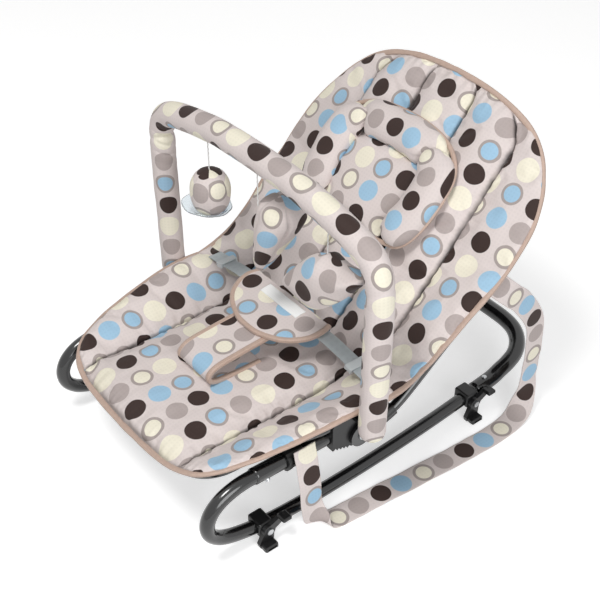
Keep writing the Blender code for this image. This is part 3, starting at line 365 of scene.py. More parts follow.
def spline(points, steps):
    """Catmull-Rom curve through the points, with this many samples to each span."""
    p = np.array(points, float)
    p = np.vstack([2 * p[0] - p[1], p, 2 * p[-1] - p[-2]])
    a, b, c, d = (p[k:len(p) - 3 + k][:, None] for k in range(4))
    t = np.linspace(0, 1, steps, endpoint=False)[None, :, None]
    curve = b + 0.5 * ((c - a) * t + (2 * a - 5 * b + 4 * c - d) * t ** 2 + (3 * b - a - 3 * c + d) * t ** 3)
    return np.vstack([curve.reshape(-1, p.shape[1]), p[-2]])


def turns(columns):
    """Equal steps of one turn."""
    return np.linspace(0, TURN, columns, endpoint=False)


def run_of(path):
    """Distance run along a path at each of its points, or down each column of a grid."""
    steps = np.linalg.norm(np.diff(path, axis=0), axis=-1)
    return np.concatenate([np.zeros_like(steps[:1]), np.cumsum(steps, axis=0)])


def rounded_ends(path, early, reach):
    """Distance run along a path, distance to its nearer end, and a width that rises from almost 0 at each
    end to 1 beyond the reach, as a quarter circle does."""
    run = run_of(path)
    foot = np.minimum(run, run[-1] - run)
    return run, foot, np.sqrt(1 - (1 - np.clip((foot + early) / reach, 0, 1)) ** 2)[:, None]


def even(path, count):
    """The path at equal distances."""
    run = run_of(path)
    where = np.linspace(0, run[-1], count)
    return stacked(*(np.interp(where, run, values) for values in path.T))


def ease(t, low, high):
    """0 below low, 1 above high, smooth between."""
    t = np.clip((t - low) / (high - low), 0, 1)
    return t * t * (3 - 2 * t)


def unit(v):
    """Vectors made one long."""
    return v / np.maximum(np.linalg.norm(v, axis=-1, keepdims=True), 1e-12)


def stacked(*parts):
    """Arrays stretched to one shape and joined on a last axis, as the coordinates of points are."""
    return np.stack(np.broadcast_arrays(*parts), -1)


def back_point(x, up, out=0.0):
    """A point of the back: x across, up along the back plane, out towards the child. Arrays work too."""
    return stacked(x, BACK_FOOT[0] + up * BACK_W[1] + out * BACK_N[1],
                   BACK_FOOT[1] + up * BACK_W[2] + out * BACK_N[2])


def mirrored(half):
    """Points from the middle to the right side, with their mirror images before them."""
    p = np.array(half, float)
    return np.vstack([(p * (-1, 1, 1))[:0:-1], p])


def crumple(u, v, seed, longest, shortest, waves=14):
    """Uneven cloth: a sum of sine waves in random directions, between two wavelengths, about -1 to 1."""
    rng = np.random.default_rng(seed)
    length = np.exp(rng.uniform(math.log(shortest), math.log(longest), waves))
    turn, phase = rng.uniform(0, math.pi, waves), rng.uniform(0, TURN, waves)
    height = (length / longest) ** 0.5
    total = np.zeros(np.broadcast(u, v).shape)
    for n in range(waves):
        along = u * math.cos(turn[n]) + v * math.sin(turn[n])
        total += height[n] * np.sin(TURN * along / length[n] + phase[n])
    return total / np.sqrt((height ** 2).sum() / 2) / 2


def puckers(along, away, seed, pitch, reach):
    """Gathers at a sewn line: waves along the line that die away from it, with a wandering phase."""
    rng = np.random.default_rng(seed)
    wander = sum(rng.uniform(0.6, 1.2) * np.sin(along * rng.uniform(20, 70) + rng.uniform(0, 6))
                 for _ in range(3))
    return np.sin(TURN * along / pitch + wander) * np.exp(-np.abs(away) / reach)


def swept(name, path, finish, section, wide, high, up, closed=False, uv_start=(0, 0), relief=1, printed=None):
    """A section carried along a path. section is the unit outline (columns, 2), wide and high are its half
    sizes along the path, and up is the direction of its height, made square to the path. printed is the place
    along the print at each point of the path, where the cloth is drawn out or bunched."""
    count = len(path)
    way = unit(np.roll(path, -1, 0) - np.roll(path, 1, 0) if closed else np.gradient(path, axis=0))
    side = unit(np.cross(way, np.broadcast_to(up, path.shape)))
    rise = np.cross(side, way)
    wide, high = (np.broadcast_to(value, count)[:, None] for value in (wide, high))
    a, b = section[:, 0][None] * wide, section[:, 1][None] * high
    a, b = a * relief, b * relief
    points = path[:, None] + side[:, None] * a[..., None] + rise[:, None] * b[..., None]
    run = run_of(np.vstack([path, path[:1]]) if closed else path) if printed is None else printed
    ring = np.vstack([section, section[:1]]) * (np.median(wide), np.median(high))
    uv = stacked(run_of(ring)[None], run[:, None]) + uv_start
    obj = skin(name, points, uv, finish, wrap=(closed, True), caps=not closed)
    obj.data.flip_normals()
    return obj


def round_section(columns, power=2.0):
    """Unit outline that is a circle at power 2 and squarer above it."""
    t = turns(columns)
    c, s = np.cos(t), np.sin(t)
    return stacked(np.sign(c) * np.abs(c) ** (2 / power), np.sign(s) * np.abs(s) ** (2 / power))


def dress(obj, body, *nodes, fill=None):
    """Hides the CAD nodes that a finished piece stands for and hangs the piece on the body that it rides on,
    or on none when body is None. The fill argument, how full of wadding the piece is, is not used."""
    if nodes:
        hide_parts(*nodes)
    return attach(obj, body) if body else obj


# Edge of the cover, right half, from the middle of the front round to the middle of the top.
EDGE_STEPS = 24
END_SAMPLES = 200           # samples at either end of the half edge, well past the corner
HALF_EDGE = spline(np.vstack([SEAT_EDGE, BACK_EDGE]), EDGE_STEPS)
EDGE_RUN = run_of(HALF_EDGE)
SEAT_RUN = EDGE_RUN[EDGE_STEPS * len(SEAT_EDGE)]
FRONT_RUN = float(np.interp(CORNER_X, HALF_EDGE[:END_SAMPLES, 0], EDGE_RUN[:END_SAMPLES]))
TOP_RUN = float(np.interp(-CORNER_X, -HALF_EDGE[-END_SAMPLES:, 0], EDGE_RUN[-END_SAMPLES:]))
WAIST_RUN = SEAT_RUN + 0.03 * (EDGE_RUN[-1] - SEAT_RUN)
BEAD_GAP = 0.0012           # from the cover's rim to the middle of its bead


def edge_at(run):
    """Points of the half edge at these distances along it."""
    return stacked(*(np.interp(run, EDGE_RUN, values) for values in HALF_EDGE.T))


def edge_y(x, part):
    """The end edge at a distance from the middle: part is front or top. Gives (x, y, z)."""
    near = HALF_EDGE[:END_SAMPLES] if part == "front" else HALF_EDGE[:-END_SAMPLES:-1]
    near = near[np.argsort(near[:, 0])]
    return stacked(x, *(np.interp(x, near[:, 0], near[:, k]) for k in (1, 2)))


def on_back(p):
    """(up, out) of points in the back's own plane."""
    rest = p - (0, *BACK_FOOT)
    return rest @ BACK_W, rest @ BACK_N


def crown(t, power, round_off):
    """Cross section of a stuffed channel: 0 at its two seams, 1 in its middle, steep beside the seams. It is
    1 less the distance from the middle to a power, and the whole to another power."""
    return (1 - np.abs(2 * t - 1) ** power) ** round_off


def rise_from(distance, reach, power=2.2, round_off=0.6):
    """Rounded end of a pad: 0 at the sewn line, 1 beyond the reach, steep at first."""
    return (1 - (1 - np.clip(distance / reach, 0, 1)) ** power) ** round_off


def channels(bounds, counts):
    """Columns across a quilted cover, closer together beside the seams: their distance across for each row,
    their place within the channel from 0 to 1, the channel's number, and which columns are seams."""
    across, place, number = [], [], []
    for k, count in enumerate(counts):
        t = np.linspace(0, 1, count, endpoint=False)
        t = 0.3 * t + 0.35 * (1 - np.cos(math.pi * t))
        across.append(bounds[:, k:k + 1] + (bounds[:, k + 1:k + 2] - bounds[:, k:k + 1]) * t)
        place.append(t)
        number.append(np.full(count, k))
    across.append(bounds[:, -1:])
    place, number = np.r_[np.concatenate(place), 1.0], np.r_[np.concatenate(number), len(counts) - 1]
    return np.concatenate(across, axis=1), place[None], number[None], np.cumsum(counts)[:-1]


FINER_DOWN, FINER_ACROSS = 2, 3


def refined(top, extra):
    """A cover's points and its measures, with more rows and columns, on Catmull-Rom curves."""
    grid = np.concatenate([top, extra], -1)
    rows, cols, depth = grid.shape
    grid = spline(grid.reshape(rows, -1), FINER_DOWN).reshape(-1, cols, depth)
    tall = len(grid)
    grid = spline(grid.transpose(1, 0, 2).reshape(cols, -1), FINER_ACROSS).reshape(-1, tall, depth)
    grid = grid.transpose(1, 0, 2)
    return grid[..., :3], np.moveaxis(grid[..., 3:], -1, 0)


SETTLE_FRAMES = 20


def settle(name, grid, seams, held_rows, pressure, slack, cap):
    """Cloth stage of a padded piece: its top is a sheet a little too big for its frame, pressed out from
    inside. It is held along its sides, its seams and this many rows at its first and last end. The move of
    each point is capped, and the sheet goes once its shape is read."""
    rows, cols = grid.shape[:2]
    index = np.arange(rows * cols).reshape(rows, cols)
    faces = stacked(index[:-1, :-1], index[:-1, 1:], index[1:, 1:], index[1:, :-1]).reshape(-1, 4)
    mesh = bpy.data.meshes.new(name)
    mesh.from_pydata(grid.reshape(-1, 3).tolist(), [], faces.tolist())
    sheet = linked(name, mesh)
    sewn = np.zeros((rows, cols), bool)
    sewn[:held_rows[0]] = sewn[-held_rows[1]:] = True
    sewn[:, [0, -1, *seams]] = True
    sheet.vertex_groups.new(name="sewn").add(index[sewn].tolist(), 1.0, "REPLACE")
    cloth = sheet.modifiers.new("cloth", "CLOTH")
    settings = {"vertex_group_mass": "sewn", "quality": 5, "mass": 0.15, "tension_stiffness": 20,
                "compression_stiffness": 20, "shear_stiffness": 5, "bending_stiffness": 1.2, "air_damping": 5,
                "use_pressure": True, "uniform_pressure_force": pressure, "shrink_min": -slack}
    for key, value in settings.items():
        setattr(cloth.settings, key, value)
    cloth.settings.effector_weights.gravity = 0
    cloth.collision_settings.use_collision = False
    cloth.point_cache.frame_start, cloth.point_cache.frame_end = 1, SETTLE_FRAMES
    for number in range(1, SETTLE_FRAMES + 1):
        bpy.context.scene.frame_set(number)
    graph = bpy.context.evaluated_depsgraph_get()
    shape = np.empty(rows * cols * 3, np.float32)
    sheet.evaluated_get(graph).data.vertices.foreach_get("co", shape)
    move = shape.reshape(grid.shape).astype(float) - grid
    bpy.data.objects.remove(sheet, do_unlink=True)
    bpy.context.scene.frame_set(1)
    size = np.linalg.norm(move, axis=2, keepdims=True)
    return grid + move * np.minimum(1, cap / np.maximum(size, 1e-9))


def groove(x, seam, width=0.0035):
    """Depth of the stitched line: 1 on the seam, dying away to either side."""
    return np.exp(-((x - seam) / width) ** 2)


WAIST_END = edge_at(WAIST_RUN)
WAIST_UP, WAIST_OUT = (float(v) for v in on_back(WAIST_END))


def crease(share):
    """The line where seat and back are sewn together, from the middle (0) to the side (1)."""
    level = 0.002 + (WAIST_OUT - 0.002) * ease(share, 0.45, 1.0)
    return back_point(share * (WAIST_END[0] - BEAD_GAP), WAIST_UP, level)


def arc_across(points):
    """Distance across each row from its middle column, minus on the left."""
    run = run_of(points.swapaxes(0, 1)).T
    return run - run[:, [points.shape[1] // 2]]


def closed_pad(name, top, bottom, uv, finish="polka", under="lining", seams=(), shifts=((0, 0),), sunk=None):
    """Top and bottom grids of the same size joined round their edge, the underside in its own finish. The
    grid is wrapped round as a tube of rows, and its two open ends are closed by folding the end rows shut. A
    seam's column comes twice, so that the print can jump there by each channel's own shift."""
    seams = list(seams)
    if seams:
        top, bottom, uv = (np.insert(grid, seams, grid[:, seams], axis=1) for grid in (top, bottom, uv))
        sunk = np.insert(sunk, seams, sunk[:, seams], axis=1)
        sunk = np.pad(sunk, ((1, 1), (0, sunk.shape[1])))
    cols = top.shape[1]
    channel = np.searchsorted(np.array(seams) + np.arange(1, len(seams) + 1), np.arange(cols), side="right")
    uv = uv + np.array(shifts)[channel][None]
    middle = (top + bottom) / 2
    above, below = (np.concatenate([middle[:1], grid, middle[-1:]]) for grid in (top, bottom))
    ring = np.concatenate([above, below[:, ::-1]], axis=1)
    maps = np.concatenate([uv, uv[:, ::-1], uv[:, :1]], axis=1)
    maps = np.concatenate([maps[:1], maps, maps[-1:]])
    looks = np.zeros(maps.shape[:2], int)
    looks[:, cols:2 * cols - 1] = 1
    obj = skin(name, ring, maps, finish, wrap=(False, True), second=under, second_rows=looks, sunk=sunk)
    weld(obj)
    return obj


def weld(obj, within=0.00002):
    """Merges the doubled points of a folded end and turns every face outwards."""
    bm = bmesh.new()
    bm.from_mesh(obj.data)
    bmesh.ops.remove_doubles(bm, verts=bm.verts, dist=within)
    bmesh.ops.recalc_face_normals(bm, faces=bm.faces)
    bm.to_mesh(obj.data)
    bm.free()
    obj.data.shade_smooth()


# Cover

SEAT_SHIFTS = ((-0.011, -0.017), (0, 0), (0.0165, 0.01))
BACK_SHIFTS = ((0.013, 0.021), (0.158, -0.1845), (0.002, 0.012), (-0.034, -0.1816), (-0.008, 0.017))


def seat_cover():
    """Three stuffed channels. Height over the floor is the lie of the seat, rising in an S curve to the edge
    from 62% of the half width, plus each channel's crown, less the lowered seams. The cloth stage gathers it
    along its seams, and stitched grooves, fine gathers, crumples and painted shade in the seams and along
    the front hem are added at the end."""
    v = np.linspace(0, 1, 72)[:, None]
    end = edge_at(FRONT_RUN + (WAIST_RUN - FRONT_RUN) * v[:, 0])
    half, end_y, end_z = end[:, :1] - BEAD_GAP, end[:, 1:2], end[:, 2:3]
    seam = np.minimum(SEAT_SEAM, 0.8 * half)
    x, t, channel, seams = channels(np.concatenate([-half, -seam, seam, half], axis=1), (20, 46, 20))
    a = np.abs(x) / half
    front, waist = edge_y(a * CORNER_X, "front"), crease(a)
    front_y = front[..., 1] - HALF_EDGE[int(np.searchsorted(HALF_EDGE[:END_SAMPLES, 0], CORNER_X)), 1]
    waist_y = waist[..., 1] - WAIST_END[1]
    y = end_y + front_y * (1 - ease(v, 0, 0.35)) + waist_y * ease(v, 0.4, 1)
    y = y + BEAD_GAP * (1 - ease(v, 0, 0.1))
    inside = np.maximum(y - front[..., 1] - 0.006, 0)
    lie = 0.1285 + 0.014 * rise_from(inside, 0.036)
    z = lie + (end_z - lie) * ease(a, 0.62, 1.0)
    at_front = (1 - np.clip(v / 0.05, 0, 1)) ** 2
    z = z * (1 - at_front) + front[..., 2] * at_front
    at_waist = ease(v, 0.78, 1.0)
    z = z * (1 - at_waist) + (waist[..., 2] + 0.001) * at_waist
    flat_lie = stacked(x, y, z)
    outward = np.where(channel == 0, 1 - t, t)
    puff = np.where(channel == 1, -0.008 + 0.0135 * crown(t, 6.0, 0.5),
                    -0.008 * (1 - outward) + 0.0095 * crown(t, 3.0, 0.5))
    fade = rise_from(inside, 0.03, 2.0, 0.8) * (1 - 0.5 * ease(v, 0.85, 1))
    top = settle("seat_sheet", flat_lie + stacked(0, 0, puff * fade), seams, (2, 1), 1.0, 0.011, 0.006)
    extra = stacked(arc_across(flat_lie), y, flat_lie[..., 2], inside, half, seam)
    top, (u, lay, lies, inside, half, seam) = refined(top, extra)
    x, y = top[..., 0], top[..., 1]
    wide = np.abs(x)
    relief = -0.0034 * groove(wide, seam, 0.0015) + 0.0009 * puckers(y, wide - seam, 3, 0.017, 0.01)
    rim = ease(half - wide, 0, 0.006)
    relief += 0.0008 * puckers(y * 0.9 + x * 0.5, half - wide, 5, 0.019, 0.012) * rim
    relief += 0.0009 * crumple(x, y, 11, 0.16, 0.045) + 0.0004 * crumple(x, y, 12, 0.04, 0.016)
    relief *= ease(inside, 0, 0.02)
    relief += 0.0008 * puckers(x, inside - 0.003, 8, 0.0125, 0.013) * ease(inside, 0, 0.004)
    top = top + stacked(0, 0, relief)
    thick = 0.0045 + 0.0135 * rise_from(inside, 0.03) * (1 - ease(wide, seam + 0.01, half - 0.012))
    bottom = stacked(x, y, np.minimum(top[..., 2] - 0.0035, lies - thick + 0.3 * relief))
    # Painted shade: the bottom of each seam and the front hem are painted darker, wavering along each seam.
    sunk = groove(wide, seam, 0.0024) * (0.75 + 0.25 * crumple(y, x, 14, 0.06, 0.02)) * ease(inside, 0, 0.01)
    sunk += 0.6 * groove(inside, 0.0, 0.0035)
    obj = closed_pad("seat_cover", top, bottom, stacked(u, lay), seams=seams * FINER_ACROSS,
                     shifts=SEAT_SHIFTS, sunk=np.clip(sunk, 0, 1))
    return dress(obj, None, "seat_pad", fill=0.45)


def back_cover():
    """Five stuffed channels up the back. Out of the back's plane: a hollow that fills towards the top, rising
    in an S curve to the edge from 45% of the half width, plus crowns and lowered seams. The cloth stage and
    the stitched grooves, gathers, crumples and painted shade in the seams follow as on the seat."""
    v = np.linspace(0, 1, 96)[:, None]
    end = edge_at(WAIST_RUN + (TOP_RUN - WAIST_RUN) * v[:, 0])
    end_up, end_out = (value[:, None] for value in on_back(end))
    half = end[:, :1] - BEAD_GAP
    outer, inner = np.minimum(BACK_SEAMS[1], 0.72 * half), np.minimum(BACK_SEAMS[0], 0.26 * half)
    bounds = np.concatenate([-half, -outer, -inner, inner, outer, half], axis=1)
    x, t, channel, seams = channels(bounds, (20,) * 5)
    a = np.abs(x) / half
    rim = edge_y(a * CORNER_X, "top")
    rim_up, rim_out = on_back(rim)
    corner_up = on_back(edge_at(TOP_RUN))[0]
    up = end_up + (rim_up - corner_up) * ease(v, 0.45, 1.0) - BEAD_GAP * ease(v, 0.9, 1)
    below = np.maximum(rim_up - up - 0.006, 0)
    high = ease(end_up, 0.05, 0.33)
    centre = 0.002 + 0.02 * high
    level = centre + (end_out - centre) * ease(a, 0.45, 1.0)
    at_top = (1 - rise_from(below, 0.036)) * (v > 0.6)
    level = level * (1 - at_top) + (rim_out - 0.001) * at_top
    outward = np.where(channel == 0, 1 - t, t)
    puff = np.select([channel == 2, (channel == 1) | (channel == 3)],
                     [-0.0075 + 0.013 * crown(t, 4.0, 0.5), -0.0075 + 0.014 * crown(t, 4.0, 0.5)],
                     -0.0075 * (1 - outward) + 0.0105 * crown(t, 3.0, 0.5))
    fade = (0.35 + 0.65 * ease(v, 0.0, 0.06)) * np.where(v > 0.6, rise_from(below, 0.03, 2.0, 0.8), 1)
    top = settle("back_sheet", back_point(x, up, level + puff * fade), seams, (1, 2), 1.2, 0.013, 0.006)
    extra = stacked(arc_across(back_point(x, up, level)), up, level, below, half, outer, inner, v)
    top, (u, up, level, below, half, outer, inner, v) = refined(top, extra)
    x = top[..., 0]
    wide = np.abs(x)
    relief = -0.0034 * (groove(wide, inner, 0.0015) + groove(wide, outer, 0.0015))
    for seam, seed in ((inner, 21), (outer, 22)):
        relief += 0.0009 * puckers(up, wide - seam, seed, 0.019, 0.011)
    rim = ease(half - wide, 0, 0.006)
    relief += 0.001 * puckers(up + x * 0.3, half - wide, 23, 0.021, 0.014) * rim
    relief += 0.001 * crumple(x, up, 31, 0.15, 0.05) + 0.0004 * crumple(x, up, 32, 0.04, 0.018)
    relief *= ease(below, 0, 0.02)
    relief += 0.001 * puckers(x, below - 0.003, 24, 0.016, 0.016) * ease(below, 0, 0.004) * (v > 0.6)
    at_waist = (1 - ease(v, 0.05, 0.22)) * ease(v, 0.01, 0.05)
    relief += 0.0022 * crumple(x, up, 33, 0.07, 0.03) * at_waist
    top = top + BACK_N * relief[..., None]
    stuffing = (1 - ease(wide, outer + 0.01, half - 0.012)) * rise_from(below, 0.03) * ease(v, 0, 0.05)
    place_up, place_out = on_back(top - stacked(x, 0, 0))
    bottom = back_point(x, place_up, np.minimum(place_out - 0.0035, level - (0.0045 + 0.0175 * stuffing)))
    # Painted shade: the bottom of the inner and outer seams is painted darker, wavering along each seam.
    sunk = groove(wide, inner, 0.0022) + groove(wide, outer, 0.0024)
    sunk *= (0.75 + 0.25 * crumple(up, x, 34, 0.06, 0.02)) * ease(below, 0, 0.01)
    obj = closed_pad("back_cover", top, bottom, stacked(u, up), seams=seams * FINER_ACROSS,
                     shifts=BACK_SHIFTS, sunk=np.clip(sunk, 0, 1))
    return dress(obj, None, "back_pad", fill=0.5)


def edge_piping():
    """Bias tape round the whole cover: a flat oval carried along the edge, its wide side across the edge."""
    loop = np.vstack([HALF_EDGE, (HALF_EDGE * (-1, 1, 1))[-2:0:-1]])
    steps = 720
    loop = even(np.vstack([loop, loop[:1]]), steps + 1)[:-1]
    lean = ease(loop[:, 1], -0.09, 0.06)[:, None]
    up = unit((1 - lean) * UPWARD + lean * BACK_N)
    run = np.arange(steps) * 0.0029
    wide = 0.0044 + 0.0003 * np.sin(run * 90 + 2 * np.sin(run * 23))
    high = 0.003 + 0.0002 * np.sin(run * 130)
    obj = swept("edge_piping", loop, "binding", round_section(16, 2.8), wide, high, up, closed=True)
    return dress(obj, None, "seat_binding", "back_binding")


# Places of one row of spots along the bar: the cloth is drawn out over its top, bunched on the near leg.
SLEEVE_SPOTS = metres(0, 22.5, 63, 103.5, 144, 184.5, 225, 265.5, 306, 346.5, 387.6, 428, 469.4, 508.7, 557.8,
                      604.3, 652.3, 698.3, 743.8, 782.7, 813.3, 847.3, 886.7, 924.5, 958.2, 990.2, 1025.3,
                      1060, 1095, 1125)
SLEEVE_START = (0.0516, -0.9115)
BAR_BEND_Z = 0.402          # height at which each leg bends into the top


def toy_bar_sleeve():
    """Padded sleeve: a circle carried along the bar, rounded shut at both feet, with folds pinched into the
    inside of the two bends and slack ripples along the legs."""
    half = np.vstack([metres((253, -69, 136.6)), BAR_HALF])
    path = even(spline(mirrored(half[::-1]), 16), 480)
    run, _, close = rounded_ends(path, 0.0006, 0.017)
    t = math.pi / 2 + turns(44)[None]
    bend = float(run[np.argmax((path[:, 2] < BAR_BEND_Z) & (path[:, 0] > 0) & (run > run[-1] / 2))])
    inside = np.clip(-np.cos(t), 0, 1)
    relief = 1 + 0.016 * crumple(run[:, None], 0.02 * t, 41, 0.12, 0.03)
    for corner, side in ((bend, 0), (run[-1] - bend, 1)):
        away = run[:, None] - corner
        folds = np.abs(np.sin(away * (150 + 20 * side) + 0.7 * np.cos(t * 2) + 0.8))
        relief -= 0.14 * (1 - folds) ** 3 * np.exp(-(away / 0.04) ** 2) * (0.2 + inside)
        sharp = np.exp(-np.abs((away + 0.01 * np.cos(t)) / 0.004) ** 1.4)
        relief -= (0.12 + 0.06 * side) * sharp * (0.35 + inside)
    relief += 0.01 * puckers(run[:, None], 0.03 * np.cos(t), 42, 0.03, 0.02)
    printed = np.interp(run, SLEEVE_SPOTS, PITCH_V * np.arange(len(SLEEVE_SPOTS)))
    obj = swept("toy_bar_sleeve_cloth", path, "polka", stacked(np.cos(t[0]), np.sin(t[0])), BAR_R + 0.0004,
                BAR_R + 0.0004, ALONG, relief=relief * close, uv_start=SLEEVE_START, printed=printed)
    dress(obj, "toy_bar", "toy_bar_sleeve", fill=0.7)


PILLOW_SHIFT, ROLL_START = (0.1684, -0.0783), (0.012, 0.027)
ROLL_CORNER = 0.1545        # distance along the roll from either end to its pinched corner


def pillow():
    """Head pillow: a stuffed horseshoe in three lengths, pinched where they meet, round a flat pad, with bias
    tape round the whole outline."""
    x, up = metres((76, 94), (94, 116), (103, 148), (104, 188), (97, 217), (63, 237.5), (0, 244)).T
    half = back_point(x, up, PILLOW_LIFT + 0.0267 * (up - 0.1))
    path = even(spline(mirrored(half[::-1]), 16), 320) + (PILLOW_X, 0, 0)
    run, foot, close = rounded_ends(path, 0.001, 0.034)
    columns = 48
    t = turns(columns)[None]
    relief = np.ones((len(path), columns))
    for place, lean in ((ROLL_CORNER, 1), (run[-1] - ROLL_CORNER, -1)):
        away = run[:, None] - place - lean * (0.013 * np.sin(t) + 0.006 * np.cos(t))
        relief = relief - 0.3 * np.exp(-(np.abs(away) / 0.0045) ** 1.3) - 0.13 * np.exp(-(away / 0.014) ** 2)
        radial = np.maximum(np.sin(t * 7 + 9 * np.sign(away)), 0) ** 2
        relief -= 0.07 * np.exp(-((np.abs(away) - 0.01) / 0.012) ** 2) * radial
    relief += 0.035 * crumple(run[:, None], 0.022 * t, 51, 0.1, 0.03)
    roll = swept("pillow_bolster", path, "polka", round_section(columns, 2.2), 0.0305, 0.0205, BACK_N,
                 relief=relief * close, uv_start=ROLL_START)
    dress(roll, "backrest", "pillow_roll", fill=0.7)

    v, u = np.meshgrid(np.linspace(-1, 1, 61), np.linspace(-1, 1, 61), indexing="ij")
    up = 0.152 + 0.068 * v
    x = (0.066 + 0.016 * ease(up, 0.085, 0.135) - 0.01 * ease(up, 0.19, 0.22)) * u
    body = (1 - np.abs(u) ** 3) ** 0.6 * (1 - np.abs(v) ** 4) ** 0.6
    top = back_point(x + PILLOW_X, up, 0.029 + 0.013 * body)
    top = settle("pillow_sheet", top, (), (1, 1), 1.0, 0.02, 0.005)
    bottom = back_point(x + PILLOW_X, up, 0.026)
    pad = closed_pad("pillow_centre", top, bottom, stacked(x, up), under="polka", shifts=(PILLOW_SHIFT,))
    dress(pad, "backrest", "pillow_pad", fill=0.4)

    outside = path + unit(np.cross(unit(np.gradient(path, axis=0)), BACK_N)) * -0.029 * close
    low = back_point(metres(62, 30, 0, -30, -62) + PILLOW_X, metres(81.5, 80, 80.5, 80, 81.5), 0.0285)
    rim = np.vstack([outside[foot > 0.012] - BACK_N * 0.004, low])
    rim = even(spline(np.vstack([rim, rim[:1]]), 2), 421)[:-1]
    dress(swept("pillow_piping", rim, "binding", round_section(12, 2.6), 0.0038, 0.0026, BACK_N, closed=True),
          "backrest")


# Harness

def tape(name, path, width, thick, finish, across, uv_start=(0, 0), ripple=0.0):
    """A flat strap: a thin rounded oblong carried along the path, its width along the given directions."""
    across = np.broadcast_to(across, path.shape)
    up = np.cross(across, unit(np.gradient(path, axis=0)))
    run = run_of(path)
    slack = np.sin(run * 60 + np.sin(run * 17)) + 0.6 * np.sin(run * 143 + 2 * np.sin(run * 31))
    path = path + unit(up) * (ripple * slack)[:, None]
    return swept(name, path, finish, round_section(20, 6.0), width / 2, thick / 2, up, uv_start=uv_start)


def harness():
    """Lap belt, its flap with the bare label, and the crotch strap looped over the belt."""
    route = mirrored(BELT[::-1])
    belt = tape("belt_tape", spline(route, 8), BELT_W, 0.0016, "webbing", ALONG)
    dress(belt, "base", "lap_belt")

    line = metres((0, -105, 152.4), (0, -150, 154), (0, -185, 158), (0, -197.5, 166), (0, -196, 176),
                  (0, -180, 184), (0, -140, 188), (0, -90, 191), (0, -45, 193.5), (0, -14, 195))
    line = even(spline(line, 12), 110)
    strap = tape("crotch_strap_cloth", line, 0.076, 0.0068, "polka", ACROSS, uv_start=(0.02, 0.03))
    dress(strap, "base", "crotch_strap", fill=0.3)
    for label, side in SIDES:
        edge = line + (side * 0.0368, 0, 0)
        dress(swept(f"crotch_piping_{label}", edge, "binding", round_section(14, 3.0), 0.0042, 0.0042,
                    ACROSS), "base")

    lobe = metres((88, -12, 209), (91.5, -30, 208.5), (88, -50, 205.5), (76, -70, 203.5), (58, -85, 201.5),
                  (36, -94.5, 200))
    fine = spline(lobe, 10)
    part = np.arange(len(fine))[:, None] / len(fine)
    s = np.linspace(-1, 1, 61)[None]
    x = s * fine[:, :1]
    y = fine[:, 1:2] - 0.004 * (1 - s ** 2) * ease(part, 0.7, 1)
    swell = 0.0016 * (1 - s ** 4) * ease(part, 0, 0.15)
    top = stacked(x, y, fine[:, 2:3] + swell + 0.0004 * crumple(x, y, 71, 0.07, 0.025))
    printed = stacked(x + 0.031, y + 0.017)
    flap = closed_pad("crotch_flap_cloth", top, top - (0, 0, 0.0062), printed, under="polka")
    dress(flap, "base", "crotch_flap", fill=0.3)
    end_y, end_z = fine[-1, 1] - 0.004, fine[-1, 2]
    rim = np.vstack([fine, [(0.02, end_y - 0.0015, end_z), (0, end_y - 0.0022, end_z)]])
    rim = even(spline(np.vstack([rim, (rim * (-1, 1, 1))[-2::-1]]), 3), 200) - (0, 0, 0.0022)
    dress(swept("flap_piping", rim, "binding", round_section(14, 2.8), 0.0044, 0.0038, UPWARD), "base")

    v, u = np.meshgrid(np.linspace(-0.0415, -0.0215, 15), np.linspace(-0.044, 0.044, 61), indexing="ij")
    z = np.interp(-v, -fine[:, 1], fine[:, 2]) + 0.0029 + 0.0002 * crumple(u, v, 73, 0.05, 0.02)
    top = stacked(u, v, z)
    patch = closed_pad("label_cloth", top, top - (0, 0, 0.0009), stacked(u, v), "label", "label")
    dress(patch, "base", "label_patch")


def carry_straps():
    """Flat carrying loop on each side, from the front arm down along the floor and up behind the back. Its
    width lies along Y where it hangs and along X on the floor, and turns between the two."""
    route = metres((216.5, -162, 148), (223.5, -162, 120), (230, -162, 80), (236, -162, 40), (240, -157, 18),
                   (243, -146, 6), (246, -125, 2.2), (250, -80, 1.8), (257, -5, 1.8), (264, 70, 1.8),
                   (270, 150, 1.8), (270, 205, 2.2), (266, 238, 8), (260, 258, 30), (257.5, 264, 65),
                   (257.5, 264, 130), (257.5, 258, 185))
    behind = back_point(metres(257.5, 257.5, 253, 246.8), STRAP_UP, metres(-85, -50, -28, -10.9))
    route = np.vstack([route, behind])
    turn = np.radians((0, 0, 0, 0, 25, 60, 90, 90, 90, 90, 90, 90, 60, 25, 0, 0, 0, 0, 0, 0, 0))
    lean = np.array((0,) * 16 + (0.18, 1, 1, 1, 1))
    steps = 10
    path = spline(route, steps)
    path[14 * steps:18 * steps, 0] = STRAP_X
    along = np.linspace(0, len(route) - 1, len(path))
    turn, lean = (np.interp(along, np.arange(len(route)), value)[:, None] for value in (turn, lean))
    upright = ALONG * (1 - lean) + BACK_W * lean
    across = unit(upright * np.cos(turn) + ACROSS * np.sin(turn))
    for label, side in SIDES:
        flip = np.array((side, 1, 1))
        strap = tape(f"carry_strap_{label}_cloth", path * flip, STRAP_W, 0.0022, "polka", across * flip,
                     uv_start=(0.02 + 0.01 * side, 0.01), ripple=0.0006)
        dress(strap, None, f"carry_strap_{label}", f"strap_tab_{label}")
        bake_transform(strap)


# Toys

BALL_PRINTS = ((-0.041, -0.3335), (0.004, -0.409), (0.049, -0.328), (-0.041, -0.4495), (0.094, -0.3685),
               (0.049, -0.328))
FIG_PRINTS = ((0.004, -0.405), (0.094, -0.39), (0.094, -0.32), (0.049, -0.425))
KITE_SHIFT = (0.019, -0.2915)
DISH_TURN = math.radians(232)         # the side to which the dish's rim reaches out furthest
CORDS = {"ball": 0.398, "fig": 0.3962, "kite": 0.4}         # the lower end of each toy's string


